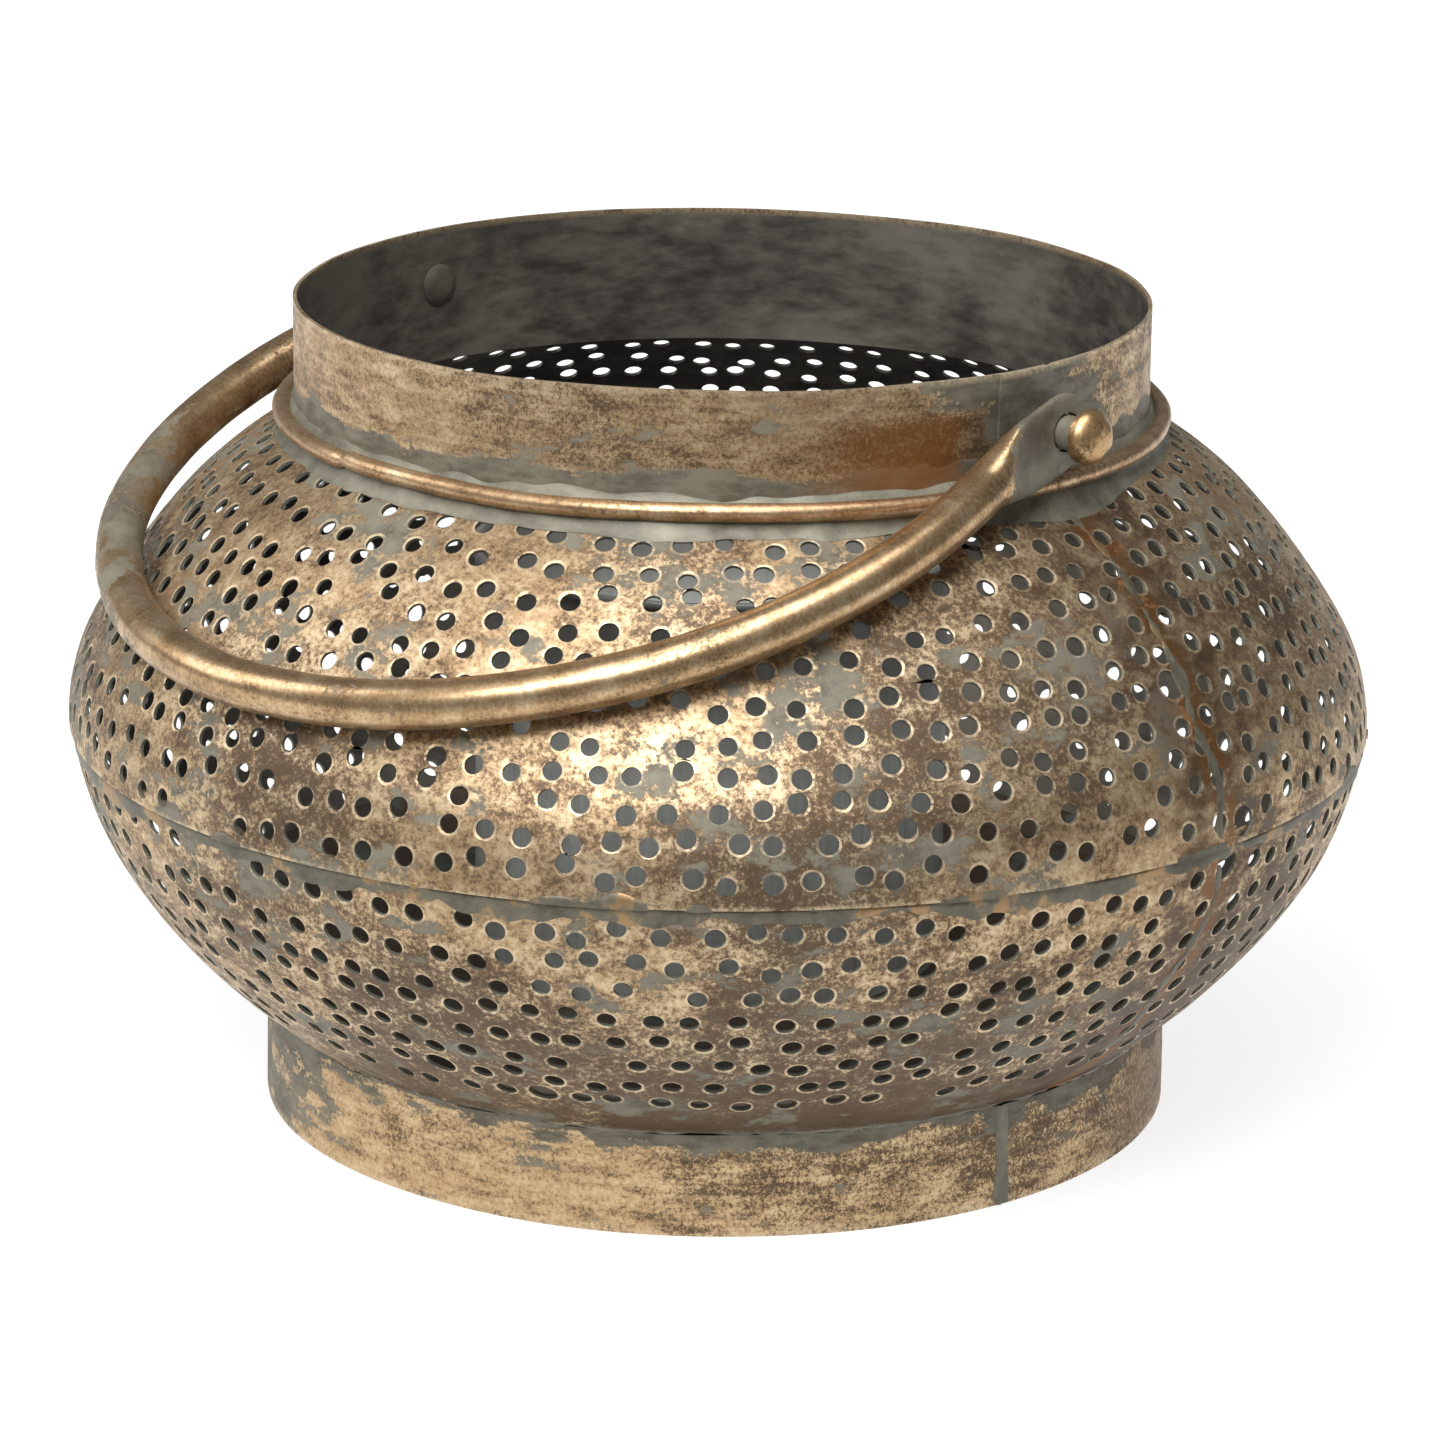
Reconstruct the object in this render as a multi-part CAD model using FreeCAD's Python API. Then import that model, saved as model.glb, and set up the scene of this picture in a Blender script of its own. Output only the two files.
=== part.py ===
import FreeCAD, Part
import math
import os
from FreeCAD import Vector

# Round perforated lantern: a squat two-part body on a foot ring, a plain neck with a swinging bail,
# and a loose candle cup standing on the floor inside.
# Units are millimetres. The origin is the centre of the foot's underside, +Z is up, the two bail
# pins lie on the X axis, and the bail rests on the shoulder towards -Y.
# An angle called "bearing" is measured about +Z from +X towards +Y.

# --- body shells: two halves of one bulging outline, each a chain of tangent arcs ---
sheet = 0.8                                  # wall of the body, neck and foot
solder_gap = 0.05                            # film between two lapped sheets
belly_radius = 140.0                         # outside radius at the widest point
belly_height = 85.0                          # height of the widest point
dome_arcs = [(40.6, 30.6), (150.0, 11.5), (81.5, 23.6)]    # (radius, degrees) going up
bowl_arcs = [(36.8, 13.6), (71.3, 19.1), (119.3, 21.3)]    # (radius, degrees) going down
dome_skirt = 1.0                             # straight edge of the dome below the widest point
bowl_tuck = 7.0                              # degrees of bowl that reach up inside the dome
bowl_bottom = 23.3                           # height where the bowl sheet ends above the foot

# --- neck ---
neck_radius = 91.1
neck_bottom = 145.5
neck_top = 175.6
neck_lap_bearing = -7.6                      # free edge of the outer layer of the lap
neck_lap_width = 13.3                        # width of the double layer, along the wall
bead_radius = 93.85                          # centreline of the wire round the neck's base
bead_height = 151.5
bead_wire = 1.95                             # radius of that wire
fillet_width = 5.0                           # solder below the bead, measured out from the neck

# --- foot ring and floor ---
foot_radius = 98.6                           # outside, at the bottom
foot_top_radius = 98.2
foot_height = 22.0
foot_seam_bearing = -7.4
foot_seam_bottom = 1.9                       # radius of the solder run at its lower end
foot_seam_top = 1.2
foot_solder = 1.25                           # half width of the solder run between bowl and foot
foot_solder_sides = 6
floor_top = 31.0
floor_rim = 5.5                              # height of the floor pan's upturned rim

# --- vertical solder runs down the body ---
seam_bearing = 0.5
seam_width = 0.9                             # degrees of bearing
seam_height = 0.35                           # how far the solder stands out
seam_neck_stop = 5.0                         # degrees of the last arc left bare at the neck
seam_foot_stop = 2.5                         # and at the foot

# --- candle cup ---
cup_radius = 51.0
cup_sheet = 0.5
cup_top = 120.3                              # top of the wall, inside the rolled rim
cup_base_recess = 2.0
cup_rim_wire = 1.1
cup_lap_bearing = -30.0
cup_lap_width = 6.5
cup_shift = Vector(-1.2, -1.2, 0)            # the loose cup stands a little off centre

# --- bail pins ---
pin_height = 163.0
pin_radius = 3.55
pin_head_radius = 5.8
pin_head_start = 103.2                       # distance of the head's flat underside from the Z axis
pin_head_edge = 1.3
pin_head_depth = 4.9
pin_tail_radius = 4.7                        # peened end inside the neck
pin_tail_depth = 1.2
pin_slack = 0.2                              # play between the peened end and the neck

# --- bail: a tube bent to an arch, its ends pressed flat into eyes ---
tube_radius = 5.0
arch_height = 142.6                          # pin axis to the centreline of the crown
side_arc_radius = 91.8
side_arc_centre = (8.4, 46.8)               # across and along, from the middle of the pin axis
flat_start = 27.0                            # distance along the arch where the tube stops being round
flat_end = 9.0                               # and where it is fully pressed flat
eye_span_right = 97.7                        # middle of the arch to the middle of the +X eye plate
eye_span_left = 98.2                         # the same on the -X side; the arch is bent by hand
eye_half_width = 7.9
eye_half_thickness = 1.15
eye_hole = 4.1
flat_steps = 5                               # cross-sections from the eye plate to the round tube
flat_pull = 0.4                              # share of the sideways move that is eased at both ends
least_flat = 0.01                            # shortest flat side of a cross-section
flat_root = 1.0                              # the pressed end runs this far up inside the tube
flat_root_step = 0.35                        # and is this much smaller in radius there
bail_shift = -0.4                            # the bail lies pushed along its pins towards -X
rest_droop = 19.4                            # degrees below level when it lies on the shoulder

z_axis = Vector(0, 0, 1)
origin = Vector(0, 0, 0)


def save(shape, name):
    os.makedirs("parts", exist_ok=True)
    if not shape.isValid():
        raise ValueError(name + " is not a valid solid")
    shape.exportStep("parts/" + name + ".step")
    print("%-24s solids %d  volume %9.1f mm3" % (name, len(shape.Solids), shape.Volume))


def line(start, end):
    return Part.makeLine(Vector(start[0], 0, start[1]), Vector(end[0], 0, end[1]))


def revolve(edges, degrees=360.0, bearing=0.0):
    # closed outline in the XZ plane turned about the Z axis, starting at a bearing
    face = Part.Face(Part.Wire(Part.__sortEdges__(edges)))
    solid = face.revolve(origin, z_axis, degrees)
    solid.rotate(origin, z_axis, bearing)
    return solid


def polygon(points, degrees=360.0, bearing=0.0):
    edges = [line(a, b) for a, b in zip(points, points[1:] + points[:1])]
    return revolve(edges, degrees, bearing)


def torus(ring_radius, wire_radius, height):
    return Part.makeTorus(ring_radius, wire_radius, Vector(0, 0, height))


def meridian(arcs, rise, inset):
    # tangent arcs from the widest point, rise +1 up or -1 down, moved inwards by the inset;
    # returns the edges and their first and last points as (radius, height)
    edges = []
    lean = 0.0
    r, z = belly_radius, belly_height
    for radius, sweep in arcs:
        centre_r = r - radius * math.cos(lean)
        centre_z = z - rise * radius * math.sin(lean)
        sweep = math.radians(sweep)
        at = []
        for part in (0.0, 0.5, 1.0):
            turn = lean + part * sweep
            reach = radius - inset
            at.append(Vector(centre_r + reach * math.cos(turn), 0,
                             centre_z + rise * reach * math.sin(turn)))
        edges.append(Part.Arc(*at).toShape())
        lean += sweep
        r = centre_r + radius * math.cos(lean)
        z = centre_z + rise * radius * math.sin(lean)
    last = edges[-1].Vertexes[-1].Point
    return edges, (belly_radius - inset, belly_height), (last.x, last.z)


def shell_section(arcs, rise, outer_inset, inner_inset):
    # outline of a sheet between two insets of the same meridian
    outer, outer_start, outer_end = meridian(arcs, rise, outer_inset)
    inner, inner_start, inner_end = meridian(arcs, rise, inner_inset)
    return outer + inner + [line(outer_start, inner_start), line(outer_end, inner_end)]


def lapped_band(radius, wall, bottom, top, lap_bearing, lap_width):
    # rolled sheet band whose end laps over its own outside
    ring = Part.makeCylinder(radius, top - bottom, Vector(0, 0, bottom))
    degrees = math.degrees(lap_width / radius)
    lap = Part.makeCylinder(radius + wall, top - bottom, Vector(0, 0, bottom), z_axis, degrees)
    lap.rotate(origin, z_axis, lap_bearing)
    bore = Part.makeCylinder(radius - wall, top - bottom, Vector(0, 0, bottom))
    return ring.fuse(lap).cut(bore).removeSplitter()


def make_body():
    dome = revolve(shell_section(dome_arcs, 1, 0.0, sheet))
    skirt_bottom = belly_height - dome_skirt
    dome = dome.fuse(polygon([(belly_radius, skirt_bottom), (belly_radius, belly_height),
                              (belly_radius - sheet, belly_height), (belly_radius - sheet, skirt_bottom)]))

    bowl_out = sheet + solder_gap
    bowl_in = bowl_out + sheet
    bowl = revolve(shell_section(bowl_arcs, -1, bowl_out, bowl_in))
    tuck = [(dome_arcs[0][0], bowl_tuck)]
    bowl = bowl.fuse(revolve(shell_section(tuck, 1, bowl_out, bowl_in)))
    bowl = bowl.cut(Part.makeCylinder(belly_radius, bowl_bottom))

    neck = lapped_band(neck_radius, sheet, neck_bottom, neck_top, neck_lap_bearing, neck_lap_width)
    for bearing in (0, 180):
        hole = Part.makeCylinder(pin_radius, neck_radius, Vector(neck_radius / 2, 0, pin_height),
                                 Vector(1, 0, 0))
        hole.rotate(origin, z_axis, bearing)
        neck = neck.cut(hole)
    throat = Part.makeCylinder(neck_radius + solder_gap, neck_top, Vector(0, 0, belly_height))
    dome = dome.cut(throat).cut(neck).removeSplitter()

    bead = torus(bead_radius, bead_wire, bead_height)
    fillet = polygon([(neck_radius + solder_gap, bead_height), (neck_radius + solder_gap, neck_bottom),
                      (neck_radius + fillet_width, neck_bottom), (bead_radius, bead_height)])
    under_dome = revolve(cavity_outline(dome_arcs, 1, 0.0, neck_bottom))
    fillet = fillet.cut(under_dome).cut(bead).cut(neck)
    fillet = max(fillet.Solids, key=lambda solid: solid.Volume)

    lap_line = revolve(solder_corner())
    save(dome.Solids[0], "upper_dome")
    save(bowl.removeSplitter().Solids[0], "lower_bowl")
    save(neck.Solids[0], "neck_collar")
    save(bead, "neck_bead_ring")
    save(fillet, "neck_solder_fillet")
    save(lap_line, "belly_solder_line")
    return dome, bowl


def solder_corner():
    # small triangle of solder in the step under the dome's edge
    bottom = belly_height - dome_skirt
    outer = (belly_radius - solder_gap, bottom)
    inner = (belly_radius - sheet - solder_gap, bottom)
    low = (belly_radius - sheet - solder_gap, bottom - sheet)
    return [line(outer, inner), line(inner, low), line(low, outer)]


def cavity_outline(arcs, rise, inset, limit):
    # everything inside a meridian, from the widest point to past a height, closed on the axis
    edges, start, end = meridian(arcs, rise, inset)
    return edges + [line(end, (0, end[1])), line((0, end[1]), (0, start[1])), line((0, start[1]), start)]


def make_seams():
    for name, arcs, rise, inset, stop in (
            ("upper_seam_solder", dome_arcs, 1, 0.0, seam_neck_stop),
            ("lower_seam_solder", bowl_arcs, -1, sheet + solder_gap, seam_foot_stop)):
        trimmed = [arcs[0], arcs[1], (arcs[2][0], arcs[2][1] - stop)]
        strip = revolve(shell_section(trimmed, rise, inset - seam_height, inset), seam_width,
                        seam_bearing - seam_width / 2)
        if rise < 0:
            step = Part.makeCylinder(belly_radius + sheet, 2 * dome_skirt,
                                     Vector(0, 0, belly_height - 2 * dome_skirt))
            strip = strip.cut(step)
        save(strip, name)


def make_foot(bowl):
    ring = polygon([(foot_radius, 0), (foot_top_radius, foot_height),
                    (foot_top_radius - sheet, foot_height), (foot_radius - sheet, 0)])
    seam = Part.makeCone(foot_seam_bottom, foot_seam_top, foot_height - foot_solder)
    seam.translate(Vector(foot_radius - sheet, 0, 0))
    seam.rotate(origin, z_axis, foot_seam_bearing)
    inside = polygon([(0, 0), (foot_radius, 0), (foot_top_radius, foot_height), (0, foot_height)])
    solder_height = (foot_height + bowl_bottom) / 2
    corners = []
    for corner in range(foot_solder_sides):
        turn = 2 * math.pi * corner / foot_solder_sides
        corners.append((foot_top_radius + foot_solder * math.cos(turn),
                        solder_height + foot_solder * math.sin(turn)))
    solder = polygon(corners)
    save(ring, "foot_ring")
    save(seam.cut(inside).Solids[0], "foot_seam_solder")
    save(solder.cut(bowl).cut(ring).Solids[0], "foot_solder_bead")


def make_floor():
    # dished plate pressed into the bowl, its rim turned up against the bowl's inside
    against = 2 * (sheet + solder_gap)
    low = floor_top - sheet
    pan = revolve(cavity_outline(bowl_arcs, -1, against, low))
    pan = pan.common(Part.makeCylinder(belly_radius, sheet + floor_rim, Vector(0, 0, low)))
    hollow = revolve(cavity_outline(bowl_arcs, -1, against + sheet, low))
    hollow = hollow.common(Part.makeCylinder(belly_radius, belly_height, Vector(0, 0, floor_top)))
    save(pan.cut(hollow).Solids[0], "floor_pan")


def make_cup():
    wall = lapped_band(cup_radius, cup_sheet, floor_top, cup_top, cup_lap_bearing, cup_lap_width)
    base = Part.makeCylinder(cup_radius - cup_sheet, cup_sheet, Vector(0, 0, floor_top + cup_base_recess))
    rim = torus(cup_radius, cup_rim_wire, cup_top).cut(wall)
    for shape, name in ((wall, "candle_cup_wall"), (base, "candle_cup_base"), (rim, "candle_cup_rim")):
        shape.translate(cup_shift)
        save(shape.Solids[0], name)


def make_pins():
    # turned about the X axis: peened tail, shank through the neck, domed head
    tail_end = neck_radius - sheet - pin_tail_depth - pin_slack
    head_end = pin_head_start + pin_head_depth
    head_corner = pin_head_start + pin_head_edge
    points = [(tail_end, 0), (tail_end, pin_radius), (tail_end + pin_tail_depth / 2, pin_tail_radius),
              (tail_end + pin_tail_depth, pin_tail_radius), (tail_end + pin_tail_depth, pin_radius),
              (pin_head_start, pin_radius), (pin_head_start, pin_head_radius),
              (head_corner, pin_head_radius)]
    edges = [line(a, b) for a, b in zip(points, points[1:])]
    dome = pin_head_end_arc(head_corner, head_end)
    edges += [dome, line((head_end, 0), (tail_end, 0))]
    face = Part.Face(Part.Wire(Part.__sortEdges__(edges)))
    pin = face.revolve(origin, Vector(1, 0, 0), 360)
    pin.translate(Vector(0, 0, pin_height))
    save(pin, "bail_pin_right")
    other = pin.copy()
    other.rotate(origin, z_axis, 180)
    save(other, "bail_pin_left")


def pin_head_end_arc(corner, end):
    # circular dome from the head's edge to its crown on the axis
    rise = end - corner
    radius = (rise ** 2 + pin_head_radius ** 2) / (2 * rise)
    half = math.asin(pin_head_radius / radius) / 2
    middle = Vector(end - radius + radius * math.cos(half), 0, radius * math.sin(half))
    return Part.Arc(Vector(corner, 0, pin_head_radius), middle, Vector(end, 0, 0)).toShape()


def flat_section(across, along, lean, half_width, half_thickness):
    # rounded slot outline square to the tube, its long side square to the arch's plane
    x_dir = Vector(math.cos(lean), 0, math.sin(lean))
    centre = Vector(across, 0, along)
    straight = half_width - half_thickness
    corners = []
    for side, end in ((1, 1), (-1, 1), (-1, -1), (1, -1)):
        corners.append(centre + x_dir * (side * half_thickness) + Vector(0, end * straight, 0))
    tips = [centre + Vector(0, half_width, 0), centre - Vector(0, half_width, 0)]
    edges = [Part.Arc(corners[0], tips[0], corners[1]).toShape(), Part.makeLine(corners[1], corners[2]),
             Part.Arc(corners[2], tips[1], corners[3]).toShape(), Part.makeLine(corners[3], corners[0])]
    return Part.Wire(edges)


def make_bail_end(eye_span):
    # one flattened end, for the +X side: eye plate, then a loft back to the round tube
    inner_face = eye_span - eye_half_thickness
    blank = Part.makeBox(2 * eye_half_thickness, 2 * eye_half_width, flat_end,
                         Vector(inner_face, -eye_half_width, 0))
    round_end = Part.makeCylinder(eye_half_width, 2 * eye_half_thickness,
                                  Vector(inner_face, 0, 0), Vector(1, 0, 0))
    hole = Part.makeCylinder(eye_hole, 4 * eye_half_thickness,
                             Vector(inner_face - eye_half_thickness, 0, 0), Vector(1, 0, 0))
    centre_x, centre_z = side_arc_centre
    root = flat_start + flat_root
    root_radius = tube_radius - flat_root_step
    tube_lean = math.asin((centre_z - root) / side_arc_radius)
    tube_across = centre_x + side_arc_radius * math.cos(tube_lean)
    sections = []
    for step in range(flat_steps):
        part = step / (flat_steps - 1)
        ease = part * part * (3 - 2 * part)
        across = eye_span + (tube_across - eye_span) * (part + flat_pull * (ease - part))
        along = flat_end + (root - flat_end) * part
        lean = -tube_lean * part
        half_width = eye_half_width + (root_radius - eye_half_width) * ease
        half_thickness = eye_half_thickness + (root_radius - least_flat - eye_half_thickness) * ease
        sections.append(flat_section(across, along, lean, half_width, half_thickness))
    neck = Part.makeLoft(sections, True, False)
    return blank.fuse(round_end).fuse(neck).cut(hole).removeSplitter()


def make_bail():
    # arch in the XZ plane with the pin axis along X through the origin
    centre_x, centre_z = side_arc_centre
    rest = arch_height - side_arc_radius
    crown_z = (rest ** 2 - centre_x ** 2 - centre_z ** 2) / (2 * (rest - centre_z))
    crown_radius = arch_height - crown_z
    meet = math.atan2(centre_z - crown_z, centre_x)
    start = -math.asin((centre_z - flat_start) / side_arc_radius)

    def on_side(angle):
        return Vector(centre_x + side_arc_radius * math.cos(angle), 0,
                      centre_z + side_arc_radius * math.sin(angle))

    def mirrored(point):
        return Vector(-point.x, 0, point.z)

    side_points = [on_side(start), on_side((start + meet) / 2), on_side(meet)]
    crown = Vector(0, 0, arch_height)
    path = Part.Wire([Part.Arc(*side_points).toShape(),
                      Part.Arc(side_points[2], crown, mirrored(side_points[2])).toShape(),
                      Part.Arc(*[mirrored(p) for p in reversed(side_points)]).toShape()])
    along = Vector(-math.sin(start), 0, math.cos(start))
    ring = Part.Wire(Part.makeCircle(tube_radius, side_points[0], along))
    tube = path.makePipeShell([ring], True, True)
    end = make_bail_end(eye_span_right)
    other_end = make_bail_end(eye_span_left)
    other_end.rotate(origin, z_axis, 180)
    bail = tube.fuse(end).fuse(other_end)
    bail.rotate(origin, Vector(1, 0, 0), 90 + rest_droop)
    bail.translate(Vector(bail_shift, 0, pin_height))
    expected = math.pi * tube_radius ** 2 * path.Length
    print("tube volume %.1f, section times length %.1f" % (tube.Volume, expected))
    save(bail.Solids[0], "handle_bail")
    return bail


dome, bowl = make_body()
make_seams()
make_foot(bowl)
make_floor()
make_cup()
make_pins()
bail = make_bail()
print("bail to shoulder %.2f mm" % bail.distToShape(dome)[0])
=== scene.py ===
import bpy
import bmesh
import math
from functools import partial
from mathutils import Matrix, Vector, noise


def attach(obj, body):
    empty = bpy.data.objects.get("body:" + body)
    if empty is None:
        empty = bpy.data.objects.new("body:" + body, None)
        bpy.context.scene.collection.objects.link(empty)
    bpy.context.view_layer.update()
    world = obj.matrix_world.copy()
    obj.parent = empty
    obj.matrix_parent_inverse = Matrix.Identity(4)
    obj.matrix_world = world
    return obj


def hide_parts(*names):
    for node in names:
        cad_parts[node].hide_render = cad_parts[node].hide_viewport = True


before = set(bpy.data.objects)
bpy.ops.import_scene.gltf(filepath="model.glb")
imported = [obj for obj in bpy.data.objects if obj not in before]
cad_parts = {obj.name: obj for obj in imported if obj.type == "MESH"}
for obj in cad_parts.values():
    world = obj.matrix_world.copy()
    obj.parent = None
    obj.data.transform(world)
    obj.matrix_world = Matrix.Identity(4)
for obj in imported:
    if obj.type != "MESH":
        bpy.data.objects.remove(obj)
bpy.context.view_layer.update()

mm = 0.001
scene = bpy.context.scene
bearingOfCamera = -45.0     # degrees about +Z from +X towards +Y


def pick(sockets, key):
    shown = [socket for socket in sockets if socket.enabled]
    if isinstance(key, int):
        return shown[key]
    return next(socket for socket in shown if key in (socket.name, socket.identifier))


def addNode(tree, kind, inputs=None, **settings):
    # kind is the end of the type's name, with its operation, interpolation or data type after it where it
    # needs one; inputs go by name or, in a list, by place; each is a value, a node or a node and output
    kind, *option = kind.split()
    starts = ("ShaderNode", "GeometryNode", "FunctionNode", "Node")
    node = tree.nodes.new(next(start + kind for start in starts if hasattr(bpy.types, start + kind)))
    if option:
        choices = ("operation", "interpolation_type", "data_type")
        setattr(node, next(choice for choice in choices if hasattr(node, choice)), option[0])
    for name, value in settings.items():
        setattr(node, name, value)
    if isinstance(inputs, list):
        inputs = dict(enumerate(inputs))
    for key, value in (inputs or {}).items():
        source = value if isinstance(value, tuple) and isinstance(value[0], bpy.types.Node) else (value, 0)
        if isinstance(source[0], bpy.types.Node):
            tree.links.new(pick(source[0].outputs, source[1]), pick(node.inputs, key))
        else:
            pick(node.inputs, key).default_value = value
    return node


def newMaterial(name):
    material = bpy.data.materials.new(name)
    material.use_nodes = True
    material.node_tree.nodes.clear()
    return material, partial(addNode, material.node_tree)


def hexColour(text):
    # sRGB hex to the linear colour a shader wants
    parts = [int(text[i:i + 2], 16) / 255 for i in (1, 3, 5)]
    return tuple(c / 12.92 if c < 0.04045 else ((c + 0.055) / 1.055) ** 2.4 for c in parts) + (1.0,)


def wobble(x, y, z, size, seed=0.0):
    # smooth noise from about -1 to 1, with lumps of that size in mm
    return noise.noise(Vector((x / size + seed, y / size - seed, z / size + 0.37 * seed))) * 1.6


def ease(low, high, value):
    t = min(1.0, max(0.0, (value - low) / (high - low)))
    return t * t * (3 - 2 * t)


def meshObject(name, points, faces, paint=None, uv=None, sharp=30):
    # points are in mm; paint holds named lists of one number a point, uv one pair a face corner
    mesh = bpy.data.meshes.new(name)
    mesh.from_pydata([Vector(p) * mm for p in points], [], faces)
    for layer, values in (paint or {}).items():
        mesh.attributes.new(layer, "FLOAT", "POINT").data.foreach_set("value", values)
    if uv:
        layer = mesh.uv_layers.new(name="UVMap")
        layer.data.foreach_set("uv", [c for pair in uv for c in pair])
    mesh.update()
    thing = bpy.data.objects.new(name, mesh)
    scene.collection.objects.link(thing)
    turnOutwards(thing, sharp)
    return thing


def turnOutwards(thing, sharp):
    # faces outwards, smooth, with creases only at edges steeper than the given angle
    form = bmesh.new()
    form.from_mesh(thing.data)
    bmesh.ops.recalc_face_normals(form, faces=form.faces)
    for face in form.faces:
        face.smooth = True
    for edge in form.edges:
        edge.smooth = len(edge.link_faces) == 2 and edge.calc_face_angle(0) < math.radians(sharp)
    form.to_mesh(thing.data)
    form.free()


def wrapRings(rings, closedAlong, closedAcross=True):
    # quads between rings of equal length; an open run gets an end face on its first and last ring
    points = [p for ring in rings for p in ring]
    across = len(rings[0])
    faces = []
    for i in range(len(rings) if closedAlong else len(rings) - 1):
        j = (i + 1) % len(rings)
        for k in range(across if closedAcross else across - 1):
            l = (k + 1) % across
            faces.append((i * across + k, i * across + l, j * across + l, j * across + k))
    if not closedAlong:
        faces.append(tuple(range(across)))
        faces.append(tuple((len(rings) - 1) * across + k for k in reversed(range(across))))
    return points, faces


def finishPiece(thing, body, nodes, material):
    thing.data.materials.clear()
    thing.data.materials.append(material)
    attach(thing, body)
    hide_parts(*nodes)
    print("built", thing.name, len(thing.data.polygons), "faces")


# Antique brass: mild steel washed with brass, browned, then rubbed back by hand. The eye gets a warm gold
# full of fine brown grain, ragged grey-green flats where the bath stayed, and bright rubbed hole lips.
brassLook = {
    "goldDeep": "#826a4e",
    "goldMid": "#ad9270",
    "goldPale": "#d3bf9e",
    "brown": "#40332a",
    "umber": "#5c4938",
    "green": "#7f7b6c",
    "greenDark": "#524e44",
    "rust": "#7f5832",
    "burnt": "#84572b",
    "lip": "#d6c2a2",
    "sootAndShade": "#4f3c2e",
    "holeWall": "#6a6a5f",
    "innerDark": "#2c2623",
    "innerLight": "#6a655b",
    "metallic": 0.88,
    "roughness": 0.42,
    "patchSize": 22.0,        # mm, width of the grey-green flats
    "patchShare": 0.445,      # a higher share leaves less gold
    "patchFlat": 1.7,         # they are this much longer round the body than up it
    "grainSize": 1.2,         # mm
    "grainShare": 0.505,      # a higher share is browner
    "streakSize": 1.1,        # mm, spacing of the rub marks
    "streakPull": 0.03,
    "streakDepth": 0.0,       # 0 for none
    "bump": 0.07,             # mm
    "alongUv": False,
    "stains": False,
    "paintedShadeTop": 0.0,          # mm, below this height the brown grain is thickened as painted shade, darker towards the bottom
}


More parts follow.
